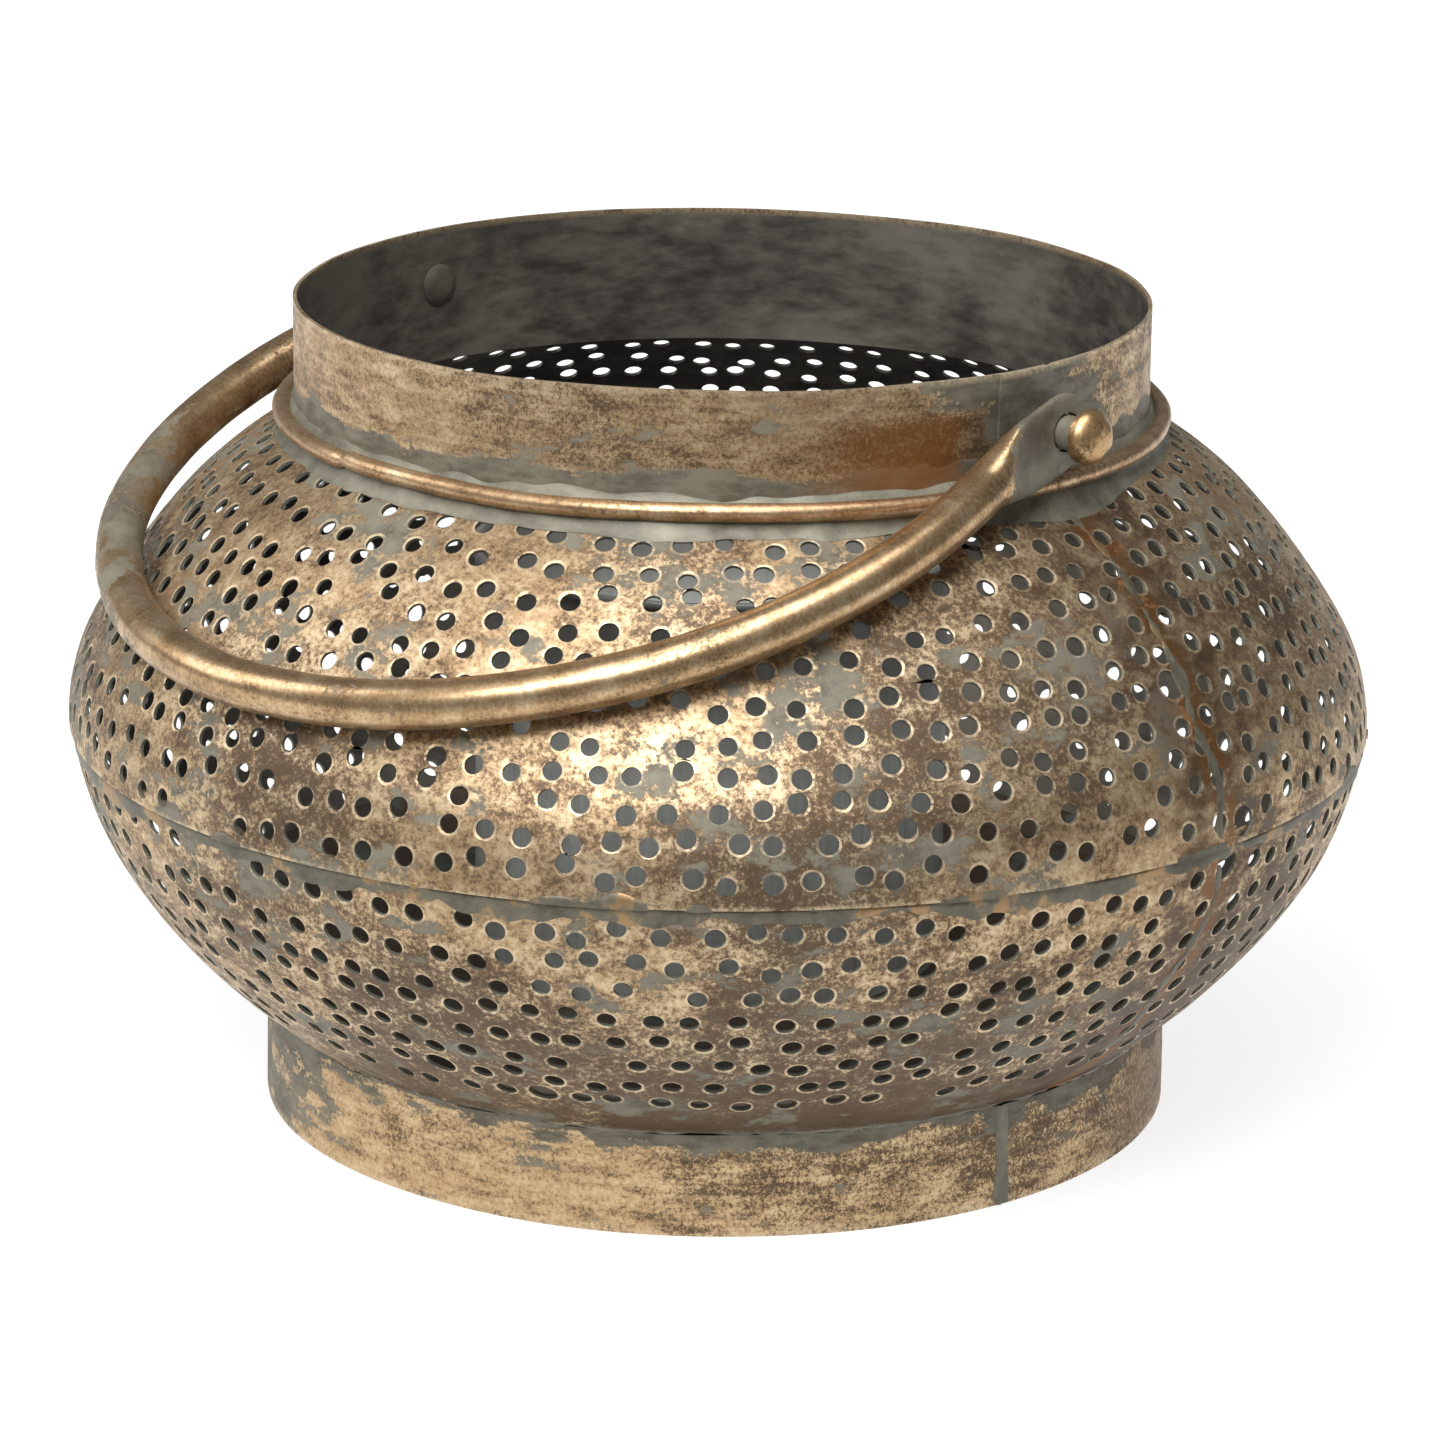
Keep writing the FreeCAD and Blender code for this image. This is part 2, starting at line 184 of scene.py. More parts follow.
def antiqueBrass(name, changes=None):
    look = dict(brassLook, **(changes or {}))
    material, add = newMaterial(name)

    coords = add("TexCoord")
    place = (coords, "Object")
    flatPlace = add("Mapping", {"Vector": place, "Scale": (1, 1, look["patchFlat"])})
    if look["alongUv"]:       # u runs along the tube and v round it, both in metres: the hairs lie across it
        streakPlace = add("Mapping", {"Vector": (coords, "UV"), "Scale": (1.0, 0.08, 1)})
    else:
        pull = look["streakPull"]
        streakPlace = add("Mapping", {"Vector": place, "Scale": (pull, pull, 1)})
    broad = add("TexNoise", {"Vector": flatPlace, "Scale": 1 / (look["patchSize"] * mm), "Detail": 4.0,
        "Roughness": 0.6, "Distortion": 0.3})
    cloud = add("TexNoise", {"Vector": place, "Scale": 1 / (62.0 * mm), "Detail": 3.0, "Roughness": 0.5})
    middle = add("TexNoise", {"Vector": flatPlace, "Scale": 1 / (8.0 * mm), "Detail": 5.0,
        "Roughness": 0.62})
    grain = add("TexNoise", {"Vector": place, "Scale": 1 / (look["grainSize"] * mm), "Detail": 8.0,
        "Roughness": 0.78})
    fine = add("TexNoise", {"Vector": place, "Scale": 1 / (0.45 * mm), "Detail": 3.0, "Roughness": 0.7})
    streak = add("TexNoise", {"Vector": streakPlace, "Scale": 1 / (look["streakSize"] * mm), "Detail": 4.0,
        "Roughness": 0.6})

    # gold, deeper and paler by the grain
    streakPart = add("Math MULTIPLY_ADD", [streak, look["streakDepth"], -0.5 * look["streakDepth"]])
    goldSum = add("Math MULTIPLY_ADD", [grain, 0.55, add("Math MULTIPLY_ADD", [middle, 0.45, streakPart])])
    gold = add("ValToRGB", {"Fac": goldSum})
    ramp = gold.color_ramp
    ramp.elements[0].position, ramp.elements[0].color = 0.37, hexColour(look["goldPale"])
    ramp.elements[1].position, ramp.elements[1].color = 0.62, hexColour(look["goldDeep"])
    ramp.elements.new(0.5).color = hexColour(look["goldMid"])

    # brown grain, thicker where the broad clouds say so
    grimy = add("Math MULTIPLY_ADD", [cloud, 0.5, add("Math MULTIPLY", [middle, 0.35])])
    grainSum = add("Math MULTIPLY_ADD", [grain, 0.62, add("Math MULTIPLY_ADD", [fine, 0.28, grimy])])
    grainRub = add("Math ADD", [grainSum, streakPart])
    level = 1.38 - look["grainShare"]
    # painted shade: below the given height the brown grain is thickened, darker towards the bottom of the
    # bowl, standing in for the shaded floor it reflects
    if look["paintedShadeTop"]:
        height = add("SeparateXYZ", [place])
        low = add("MapRange", {"Value": (height, "Z"), "From Min": 0.022, "From Max": look["paintedShadeTop"] * mm,
            "To Min": 0.07, "To Max": 0.0})
        grainRub = add("Math ADD", [grainRub, low])
    brownMask = add("MapRange SMOOTHSTEP",
        {"Value": grainRub, "From Min": level - 0.055, "From Max": level + 0.085, "To Max": 0.86})
    brownTone = add("Mix RGBA", {"Factor": fine, "A": hexColour(look["brown"]),
        "B": hexColour(look["umber"])})
    speckled = add("Mix RGBA", {"Factor": brownMask, "A": gold, "B": brownTone})

    # grey-green flats with ragged edges
    flatSum = add("Math MULTIPLY_ADD", [middle, 0.55, broad])
    tarnish = add("Attribute", attribute_name="tarnish")
    flatNear = add("Math MULTIPLY_ADD", [(tarnish, "Fac"), 0.40, add("Math ADD", [flatSum, streakPart])])
    flatRub = add("Math MULTIPLY_ADD", [grain, 0.42, flatNear])
    edge = 1.50 - look["patchShare"]
    flatMask = add("MapRange SMOOTHSTEP",
        {"Value": flatRub, "From Min": edge - 0.02, "From Max": edge + 0.06, "To Max": 0.94})
    flatTint = add("MapRange SMOOTHSTEP",
        {"Value": add("Math MULTIPLY_ADD", [fine, 0.3, middle]), "From Min": 0.48, "From Max": 0.82})
    flatTone = add("Mix RGBA", {"Factor": flatTint, "A": hexColour(look["greenDark"]),
        "B": hexColour(look["green"])})
    colour = add("Mix RGBA", {"Factor": flatMask, "A": speckled, "B": flatTone})

    burn = add("Attribute", attribute_name="burn")
    burnMask = add("MapRange SMOOTHSTEP",
        {"Value": add("Math MULTIPLY_ADD", [(burn, "Fac"), 0.45, grain]), "From Min": 0.62,
        "From Max": 0.98, "To Max": 0.8})
    colour = add("Mix RGBA", {"Factor": burnMask, "A": colour, "B": hexColour(look["burnt"])})

    if look["stains"]:        # heat and flux stains beside the upright soldered seam on the +X side
        xyz = add("SeparateXYZ", [place])
        away = add("Math SUBTRACT", [(xyz, "Y"), 4.2 * mm])
        near = add("MapRange SMOOTHSTEP",
            {"Value": add("Math ABSOLUTE", [away]), "From Min": 1.5 * mm, "From Max": 34 * mm,
            "To Min": 1.0, "To Max": 0.0})
        close = add("MapRange SMOOTHSTEP",
            {"Value": add("Math ABSOLUTE", [away]), "From Min": 1.0 * mm, "From Max": 9 * mm, "To Min": 1.0,
            "To Max": 0.0})
        rightSide = add("Math GREATER_THAN", [(xyz, "X"), 0.0])
        sootAndShade = add("MapRange SMOOTHSTEP",
            {"Value": add("Math MULTIPLY_ADD", [add("Math MULTIPLY", [near, rightSide]), 0.42, middle]),
            "From Min": 0.62, "From Max": 1.02, "To Max": 0.75})
        sootyAndShaded = add("Mix RGBA", {"Factor": sootAndShade, "A": colour, "B": hexColour(look["sootAndShade"])})
        rustNear = add("Math MULTIPLY_ADD", [add("Math MULTIPLY", [close, rightSide]), 0.34, middle])
        rustMask = add("MapRange SMOOTHSTEP",
            {"Value": add("Math MULTIPLY_ADD", [grain, 0.7, rustNear]), "From Min": 1.02, "From Max": 1.24,
            "To Max": 0.85})
        colour = add("Mix RGBA", {"Factor": rustMask, "A": sootyAndShaded, "B": hexColour(look["rust"])})

    # zone on punched sheet: 0 skin, 1 rubbed lip, 2 wall of a hole; worn and inside are painted on the mesh
    zone = add("Attribute", attribute_name="zone")
    worn = add("Attribute", attribute_name="worn")
    inside = add("Attribute", attribute_name="inside")
    isLip = add("Math LESS_THAN", [add("Math ABSOLUTE", [add("Math SUBTRACT", [(zone, "Fac"), 1.0])]), 0.3])
    rubbed = add("Math MAXIMUM", [isLip, (worn, "Fac")])
    rub = add("Math MULTIPLY", [rubbed, add("MapRange",
        {"Value": add("Math MULTIPLY_ADD", [middle, 0.8, grain]), "From Min": 1.02, "From Max": 0.80,
        "To Min": 0.0, "To Max": 0.9})])
    bright = add("Mix RGBA", {"Factor": rub, "A": colour, "B": hexColour(look["lip"])})
    isWall = add("Math GREATER_THAN", [(zone, "Fac"), 1.5])
    walled = add("Mix RGBA", {"Factor": isWall, "A": bright, "B": hexColour(look["holeWall"])})
    innerTint = add("MapRange SMOOTHSTEP",
        {"Value": add("Math MULTIPLY_ADD", [middle, 0.6, cloud]), "From Min": 0.55, "From Max": 1.0})
    innerTone = add("Mix RGBA", {"Factor": innerTint, "A": hexColour(look["innerDark"]),
        "B": hexColour(look["innerLight"])})
    lined = add("Mix RGBA", {"Factor": (inside, "Fac"), "A": walled, "B": innerTone})

    matt = add("Math MAXIMUM", [add("Math MAXIMUM", [flatMask, (inside, "Fac")]), isWall])
    mattHere = add("Math MULTIPLY", [matt, add("Math SUBTRACT", [1.0, rub])])
    dull = add("Math MULTIPLY_ADD", [brownMask, 0.5, mattHere], use_clamp=True)
    metallic = add("MapRange", {"Value": dull, "To Min": look["metallic"], "To Max": 0.28})
    roughBase = add("MapRange", {"Value": dull, "To Min": look["roughness"], "To Max": 0.55})
    rough = add("Math MULTIPLY_ADD", [grain, 0.14, roughBase])
    relief = add("Math MULTIPLY_ADD", [brownMask, -0.25, add("Math MULTIPLY_ADD", [fine, 0.35, grain])])
    reliefAll = add("Math MULTIPLY_ADD", [flatMask, 0.35,
        add("Math MULTIPLY_ADD", [streakPart, 1.2, relief])])
    bump = add("Bump", {"Strength": 0.65, "Distance": look["bump"] * mm, "Height": reliefAll})
    shader = add("BsdfPrincipled", {"Base Color": lined, "Metallic": metallic, "Roughness": rough,
        "Normal": bump})
    add("OutputMaterial", {"Surface": shader})
    return material


# Patinated solder: tin-lead run on with an iron and dulled by the browning bath. Soft lumps, grey-green,
# with a little brown in the creases and a few bright rubbed spots.
solderLook = {
    "light": "#888473",
    "dark": "#59554a",
    "brown": "#58462f",
    "gold": "#b3966b",
    "goldShare": 0.72,        # a higher share leaves fewer rubbed spots
}


def patinatedSolder(name, changes=None):
    look = dict(solderLook, **(changes or {}))
    material, add = newMaterial(name)
    coords = add("TexCoord")
    broad = add("TexNoise", {"Vector": (coords, "Object"), "Scale": 1 / (9 * mm), "Detail": 5.0,
        "Roughness": 0.6})
    fine = add("TexNoise", {"Vector": (coords, "Object"), "Scale": 1 / (1.3 * mm), "Detail": 6.0,
        "Roughness": 0.7})
    tone = add("Math MULTIPLY_ADD", [fine, 0.5, broad])
    grey = add("MapRange", {"Value": tone, "From Min": 0.55, "From Max": 0.95})
    base = add("Mix RGBA", {"Factor": grey, "A": hexColour(look["dark"]), "B": hexColour(look["light"])})
    brownMask = add("MapRange", {"Value": fine, "From Min": 0.60, "From Max": 0.70, "To Max": 0.7})
    browned = add("Mix RGBA", {"Factor": brownMask, "A": base, "B": hexColour(look["brown"])})
    worn = add("Attribute", attribute_name="worn")
    goldSum = add("Math MULTIPLY_ADD", [(worn, "Fac"), 0.5, broad])
    goldMask = add("MapRange SMOOTHSTEP",
        {"Value": goldSum, "From Min": look["goldShare"], "From Max": look["goldShare"] + 0.07})
    rubbed = add("Mix RGBA", {"Factor": goldMask, "A": browned, "B": hexColour(look["gold"])})
    metallic = add("MapRange", {"Value": goldMask, "To Min": 0.25, "To Max": 0.85})
    rough = add("MapRange", {"Value": fine, "From Min": 0.3, "From Max": 0.7, "To Min": 0.38,
        "To Max": 0.58})
    bump = add("Bump", {"Strength": 0.6, "Distance": 0.12 * mm, "Height": tone})
    shader = add("BsdfPrincipled", {"Base Color": rubbed, "Metallic": metallic, "Roughness": rough,
        "Normal": bump})
    add("OutputMaterial", {"Surface": shader})
    return material


# Hot-dip galvanised sheet, rolled and lapped: cool grey painted nearly white as painted light, standing in
# for the light that barely reaches the cup inside the lantern; faint spangle, drawn marks down its height.
zincLook = {"light": "#e6e8e3", "dark": "#c4c6c1", "stain": "#9d9b92", "sootAndShade": "#5d5a55",
            "shadeFrom": 78.0, "shadeTo": 108.0, "spangle": 7.0, "drawn": 1.4}


def galvanisedSheet(name, changes=None):
    look = dict(zincLook, **(changes or {}))
    material, add = newMaterial(name)
    coords = add("TexCoord")
    drawnPlace = add("Mapping", {"Vector": (coords, "Object"), "Scale": (1, 1, 0.04)})
    drawn = add("TexNoise", {"Vector": drawnPlace, "Scale": 1 / (look["drawn"] * mm), "Detail": 4.0,
        "Roughness": 0.6})
    spangle = add("TexVoronoi", {"Vector": (coords, "Object"), "Scale": 1 / (look["spangle"] * mm),
        "Randomness": 1.0})
    cloud = add("TexNoise", {"Vector": (coords, "Object"), "Scale": 1 / (22 * mm), "Detail": 5.0,
        "Roughness": 0.6})
    flake = add("SeparateXYZ", [(spangle, "Color")])
    tone = add("Math MULTIPLY_ADD", [(flake, "X"), 0.25, drawn])
    grey = add("MapRange", {"Value": tone, "From Min": 0.35, "From Max": 0.95})
    base = add("Mix RGBA", {"Factor": grey, "A": hexColour(look["dark"]), "B": hexColour(look["light"])})
    stainMask = add("MapRange SMOOTHSTEP",
        {"Value": cloud, "From Min": 0.56, "From Max": 0.72, "To Max": 0.7})
    stained = add("Mix RGBA", {"Factor": stainMask, "A": base, "B": hexColour(look["stain"])})
    # painted shade: the cup is painted darker towards its top, against the light that falls on it through
    # the neck
    xyz = add("SeparateXYZ", [(coords, "Object")])
    paintedShadeHigh = add("MapRange SMOOTHSTEP",
        {"Value": (xyz, "Z"), "From Min": look["shadeFrom"] * mm, "From Max": look["shadeTo"] * mm,
        "To Max": 0.85})
    sootyAndShaded = add("Mix RGBA", {"Factor": paintedShadeHigh, "A": stained, "B": hexColour(look["sootAndShade"])})
    rough = add("MapRange", {"Value": drawn, "From Min": 0.3, "From Max": 0.7, "To Min": 0.26,
        "To Max": 0.46})
    bump = add("Bump", {"Strength": 0.5, "Distance": 0.05 * mm, "Height": tone})
    shader = add("BsdfPrincipled", {"Base Color": sootyAndShaded, "Metallic": 0.08, "Roughness": rough,
        "Normal": bump})
    add("OutputMaterial", {"Surface": shader})
    return material


punchedBrass = antiqueBrass("rubbedAntiqueBrassSheet", {"stains": True, "paintedShadeTop": 75.0})
bandLook = {"patchShare": 0.37, "patchFlat": 2.6, "streakDepth": 0.15, "grainSize": 0.9, "grainShare": 0.485}
plainBrass = antiqueBrass("brushedAntiqueBrassBand", bandLook)
footBrass = antiqueBrass("brushedAntiqueBrassFoot", dict(bandLook, grainShare=0.435, burnt="#5e4831",
                                                         goldMid="#bfa17a", goldPale="#dcc49c"))
wireBrass = antiqueBrass("drawnAntiqueBrassWire", {
    "patchShare": 0.33, "patchSize": 18.0, "grainShare": 0.42, "grainSize": 0.8, "roughness": 0.30,
    "goldMid": "#b89672"})
tubeBrass = antiqueBrass("drawnAntiqueBrassTube", {
    "alongUv": True, "patchShare": 0.32, "patchSize": 30.0, "patchFlat": 1.0, "grainShare": 0.41,
    "grainSize": 0.8, "roughness": 0.23, "streakDepth": 0.10, "streakSize": 0.7, "bump": 0.035,
    "goldMid": "#b4956f"})
pinBrass = antiqueBrass("hammeredAntiqueBrassPin", {
    "patchShare": 0.42, "patchSize": 9.0, "patchFlat": 1.0, "grainSize": 0.8, "grainShare": 0.43,
    "roughness": 0.27, "goldMid": "#b8966b", "lip": "#bd9b6e"})
innerSheet = antiqueBrass("brownedInnerSheet", {
    "goldDeep": "#3f362d", "goldMid": "#4d443a", "goldPale": "#61584b", "green": "#5d6058",
    "greenDark": "#393a36", "metallic": 0.5, "roughness": 0.5})
solder = patinatedSolder("patinatedSolder")
seamSolder = patinatedSolder("rubbedSeamSolder", {"goldShare": 0.56, "light": "#736f5f", "dark": "#484235",
                                                  "gold": "#a08460"})
zinc = galvanisedSheet("galvanisedCupSheet")
print("materials ready")


bodyForm = {
    "sheet": 0.8,
    "bellyRadius": 140.0,
    "bellyHeight": 85.0,
    "domeArcs": [(40.6, 30.6), (150.0, 11.5), (81.5, 23.6)],     # radius in mm, degrees, going up
    "bowlArcs": [(36.8, 13.6), (71.3, 19.1), (119.3, 21.3)],     # and going down
    "bowlInset": 0.85,
    "skirt": 1.0,
    "bowlTuck": 2.5,
    "bowlBottom": 22.7,
    "throat": 91.3,
    "step": 2.2,             # mm between section points
    "domeRows": (88.0, 97.0),      # lowest height and smallest radius that are punched
    "bowlRows": (80.6, 32.2),      # highest and lowest height that are punched
}


def meridianPoints(arcs, rise, inset, step=bodyForm["step"]):
    # tangent arcs from the widest point up (rise 1) or down (rise -1), moved inwards by the inset
    lean, r, z = 0.0, bodyForm["bellyRadius"], bodyForm["bellyHeight"]
    points = [(r - inset, z)]
    for radius, degrees in arcs:
        centreR = r - radius * math.cos(lean)
        centreZ = z - rise * radius * math.sin(lean)
        sweep = math.radians(degrees)
        count = max(2, round(radius * sweep / step))
        for i in range(1, count + 1):
            turn = lean + sweep * i / count
            points.append((centreR + (radius - inset) * math.cos(turn),
                           centreZ + rise * (radius - inset) * math.sin(turn)))
        lean += sweep
        r = centreR + radius * math.cos(lean)
        z = centreZ + rise * radius * math.sin(lean)
    return points


def radiusAt(points, height):
    # radius of a meridian at a height, between its points
    for (r0, z0), (r1, z1) in zip(points, points[1:]):
        if min(z0, z1) <= height <= max(z0, z1):
            return r0 + (r1 - r0) * (height - z0) / (z1 - z0)
    return points[-1][0]


def heightAt(points, radius):
    for (r0, z0), (r1, z1) in zip(points, points[1:]):
        if min(r0, r1) <= radius <= max(r0, r1):
            return z0 + (z1 - z0) * (radius - r0) / (r1 - r0)
    return points[-1][1]


def sectionObject(name, outer, inner, punched):
    # closed section of the sheet in the XZ plane; rowLine marks the points of the stretch that is punched
    mesh = bpy.data.meshes.new(name)
    ring = outer + inner[::-1]
    mesh.from_pydata([(r * mm, 0, z * mm) for r, z in ring],
                     [(i, (i + 1) % len(ring)) for i in range(len(ring))], [])
    flags = [float(i < len(outer) and punched(*ring[i])) for i in range(len(ring))]
    mesh.attributes.new("rowLine", "FLOAT", "POINT").data.foreach_set("value", flags)
    thing = bpy.data.objects.new(name, mesh)
    scene.collection.objects.link(thing)
    return thing


def buildPunchTree():
    tree = bpy.data.node_groups.new("punchedShell", "GeometryNodeTree")
    add = partial(addNode, tree)
    sizes = [
        ("Segments", "Int", 200),
        ("Hole Radius", "Float", 2.0 * mm),
        ("Hole Spacing", "Float", 8.4 * mm),
        ("Row Spacing", "Float", 7.2 * mm),
        ("Scatter Around", "Float", 1.6 * mm),
        ("Scatter Along", "Float", 1.4 * mm),
        ("Row Wave", "Float", 2.4 * mm),
        ("Lip Slope", "Float", 6.0),
        ("Lip Depth", "Float", 0.12 * mm),
        ("Punch Sides", "Int", 16),
        ("Large Share", "Float", 0.012),
        ("Missing Share", "Float", 0.03),
        ("Dent Height", "Float", 0.35 * mm),
        ("Dent Size", "Float", 24 * mm),
        ("Rim Height", "Float", 84 * mm),
        ("Seed", "Int", 3),
    ]
    face = tree.interface
    face.new_socket("Geometry", in_out="INPUT", socket_type="NodeSocketGeometry")
    for name, kind, value in sizes:
        face.new_socket(name, in_out="INPUT", socket_type="NodeSocket" + kind).default_value = value
    face.new_socket("Material", in_out="INPUT", socket_type="NodeSocketMaterial")
    face.new_socket("Geometry", in_out="OUTPUT", socket_type="NodeSocketGeometry")
    given = add("GroupInput")
    place = add("InputPosition")
    placeXyz = add("SeparateXYZ", [place])

    # the sheet: its closed section carried round a small hub circle
    hub = 10 * mm
    fromHub = add("Math SUBTRACT", [(placeXyz, "X"), hub])
    downward = add("Math MULTIPLY", [(placeXyz, "Z"), -1.0])
    flat = add("CombineXYZ", {"X": fromHub, "Y": downward})
    section = add("MeshToCurve", {"Mesh": (given, "Geometry")})
    laid = add("SetPosition", {"Geometry": section, "Position": flat})
    circle = add("CurvePrimitiveCircle", {"Resolution": (given, "Segments"), "Radius": hub})
    upright = add("SetCurveNormal", {"Curve": circle}, mode="Z_UP")
    sheet = add("CurveToMesh", {"Curve": upright, "Profile Curve": laid})
    upOff = add("VectorMath DOT_PRODUCT", [place, add("InputNormal")])
    wedge = add("Math MULTIPLY", [(upOff, "Value"), add("InputMeshFaceArea")])
    volume = add("AttributeStatistic FLOAT", {"Geometry": sheet, 2: wedge}, domain="FACE")
    turned = add("Compare LESS_THAN", [(volume, "Sum"), 0.0], data_type="FLOAT")
    outwardSheet = add("FlipFaces", {"Mesh": sheet, "Selection": turned})
    skin = add("StoreNamedAttribute FLOAT", {"Geometry": outwardSheet, "Name": "zone", "Value": 0.0},
        domain="FACE")

    # one punch: a straight shank, then a short cone that leaves the worn lip round the hole
    blank = add("MeshCylinder", {"Vertices": (given, "Punch Sides"), "Side Segments": 3, "Radius": 1.0,
        "Depth": 3.0}, fill_type="NGON")
    level = add("Math ADD", [(placeXyz, "Z"), 1.5])      # 0, 1, 2 or 3
    upper = add("Math GREATER_THAN", [level, 1.5])
    coneRise = add("Math MULTIPLY", [(given, "Lip Depth"), 2.0])
    coneWide = add("Math MULTIPLY", [coneRise, (given, "Lip Slope")])
    reach = add("Math MULTIPLY_ADD", [upper, coneWide, (given, "Hole Radius")])
    wide = add("VectorMath SCALE", {0: place, "Scale": reach})
    wideXyz = add("SeparateXYZ", [wide])
    lowest = add("Math LESS_THAN", [level, 0.5])
    highest = add("Math GREATER_THAN", [level, 2.5])
    lipSide = add("Math MULTIPLY_ADD", [upper, 2.0, -1.0])
    lip = add("Math MULTIPLY", [lipSide, (given, "Lip Depth")])
    shank = add("Math MULTIPLY_ADD", [lowest, -3 * mm, lip])
    punchZ = add("Math MULTIPLY_ADD", [highest, 1.2 * mm, shank])
    formed = add("CombineXYZ", {"X": (wideXyz, "X"), "Y": (wideXyz, "Y"), "Z": punchZ})
    punch = add("SetPosition", {"Geometry": (blank, "Mesh"), "Position": formed})
    onLip = add("Math GREATER_THAN", [(placeXyz, "Z"), -0.3 * mm])
    mark = add("Math MULTIPLY_ADD", [onLip, -1.0, 2.0])   # lip 1, wall 2
    marked = add("StoreNamedAttribute FLOAT", {"Geometry": punch, "Name": "zone", "Value": mark},
        domain="FACE")

    # rows of points up the section, each row then filled round by its own count
    rowFlag = add("InputNamedAttribute FLOAT", {"Name": "rowLine"})
    isRow = add("Compare GREATER_THAN", [rowFlag, 0.5], data_type="FLOAT")
    rowEdges = add("SeparateGeometry", {"Geometry": (given, "Geometry"), "Selection": isRow}, domain="POINT")
    rowCurve = add("MeshToCurve", {"Mesh": (rowEdges, "Selection")})
    rows = add("CurveToPoints", {"Curve": rowCurve}, mode="LENGTH")
    tree.links.new(pick(given.outputs, "Row Spacing"), pick(rows.inputs, "Length"))
    slanted = add("StoreNamedAttribute FLOAT_VECTOR",
        {"Geometry": (rows, "Points"), "Name": "rowTangent", "Value": (rows, "Tangent")}, domain="POINT")
    numbered = add("StoreNamedAttribute INT",
        {"Geometry": slanted, "Name": "rowNumber", "Value": add("InputIndex")}, domain="POINT")
    girth = add("Math MULTIPLY", [(placeXyz, "X"), 2 * math.pi])
    holesRound = add("Math DIVIDE", [girth, (given, "Hole Spacing")])
    count = add("FloatToInt", [holesRound], rounding_mode="ROUND")
    holes = add("DuplicateElements", {"Geometry": numbered, "Amount": count}, domain="POINT")
    rowNumber = add("InputNamedAttribute INT", {"Name": "rowNumber"})
    rowTangent = add("InputNamedAttribute FLOAT_VECTOR", {"Name": "rowTangent"})
    slip = add("RandomValue FLOAT", {"Min": -0.25, "Max": 0.25, "ID": rowNumber, "Seed": (given, "Seed")})
    rowStart = add("Math MULTIPLY_ADD", [rowNumber, 0.5, slip])
    index = add("Math ADD", [(holes, "Duplicate Index"), rowStart])
    pitch = add("Math DIVIDE", [2 * math.pi, count])
    angle = add("Math MULTIPLY", [index, pitch])
    around = add("RandomValue FLOAT", {"Min": -1.0, "Max": 1.0, "Seed": (given, "Seed")})
    along = add("RandomValue FLOAT", {"Min": -1.0, "Max": 1.0, "Seed": 11})
    aroundBy = add("Math MULTIPLY", [around, (given, "Scatter Around")])
    aroundTurn = add("Math DIVIDE", [aroundBy, (placeXyz, "X")])
    bearing = add("Math ADD", [angle, aroundTurn])
    wavePlace = add("CombineXYZ", {"X": add("Math COSINE", [bearing]), "Y": add("Math SINE", [bearing]),
        "Z": add("Math MULTIPLY", [rowNumber, 0.13])})
    wave = add("TexNoise", {"Vector": wavePlace, "Scale": 3.0, "Detail": 1.0})
    waveSide = add("Math MULTIPLY_ADD", [wave, 4.0, -2.0])
    waveBy = add("Math MULTIPLY", [waveSide, (given, "Row Wave")])
    alongBy = add("Math MULTIPLY_ADD", [along, (given, "Scatter Along"), waveBy])
    slide = add("VectorMath SCALE", {0: rowTangent, "Scale": alongBy})
    moved = add("VectorMath ADD", [place, slide])
    spun = add("VectorRotate", {"Vector": moved, "Angle": bearing}, rotation_type="Z_AXIS")
    slant = add("SeparateXYZ", [rowTangent])
    outward = add("Math ABSOLUTE", [(slant, "Z")])
    upOrDown = add("Math SIGN", [(slant, "Z")])
    tilt = add("Math MULTIPLY", [(slant, "X"), upOrDown])
    tiltUp = add("Math MULTIPLY", [tilt, -1.0])
    facing = add("CombineXYZ", {"X": outward, "Z": tiltUp})
    normal = add("VectorRotate", {"Vector": facing, "Angle": bearing}, rotation_type="Z_AXIS")
    aimed = add("StoreNamedAttribute FLOAT_VECTOR", {"Geometry": holes, "Name": "aim", "Value": normal},
        domain="POINT")
    spread = add("SetPosition", {"Geometry": aimed, "Position": spun})
    missed = add("RandomValue BOOLEAN", {"Probability": (given, "Missing Share"), "Seed": 23})
    thinned = add("DeleteGeometry", {"Geometry": spread, "Selection": missed}, domain="POINT")
    aim = add("InputNamedAttribute FLOAT_VECTOR", {"Name": "aim"})
    pointed = add("AlignRotationToVector", {"Vector": aim}, axis="Z")
    large = add("RandomValue BOOLEAN", {"Probability": (given, "Large Share"), "Seed": 31})
    usual = add("RandomValue FLOAT", {"Min": 0.94, "Max": 1.07, "Seed": 37})
    size = add("Math MULTIPLY_ADD", [large, 0.6, usual])
    sizes3 = add("CombineXYZ", {"X": size, "Y": size, "Z": 1.0})
    punches = add("InstanceOnPoints", {"Points": thinned, "Instance": marked, "Rotation": pointed,
        "Scale": sizes3})
    solid = add("RealizeInstances", {"Geometry": punches})
    cut = add("MeshBoolean DIFFERENCE", {"Mesh 1": skin}, solver="MANIFOLD")
    tree.links.new(pick(solid.outputs, 0), pick(cut.inputs, "Mesh 2"))

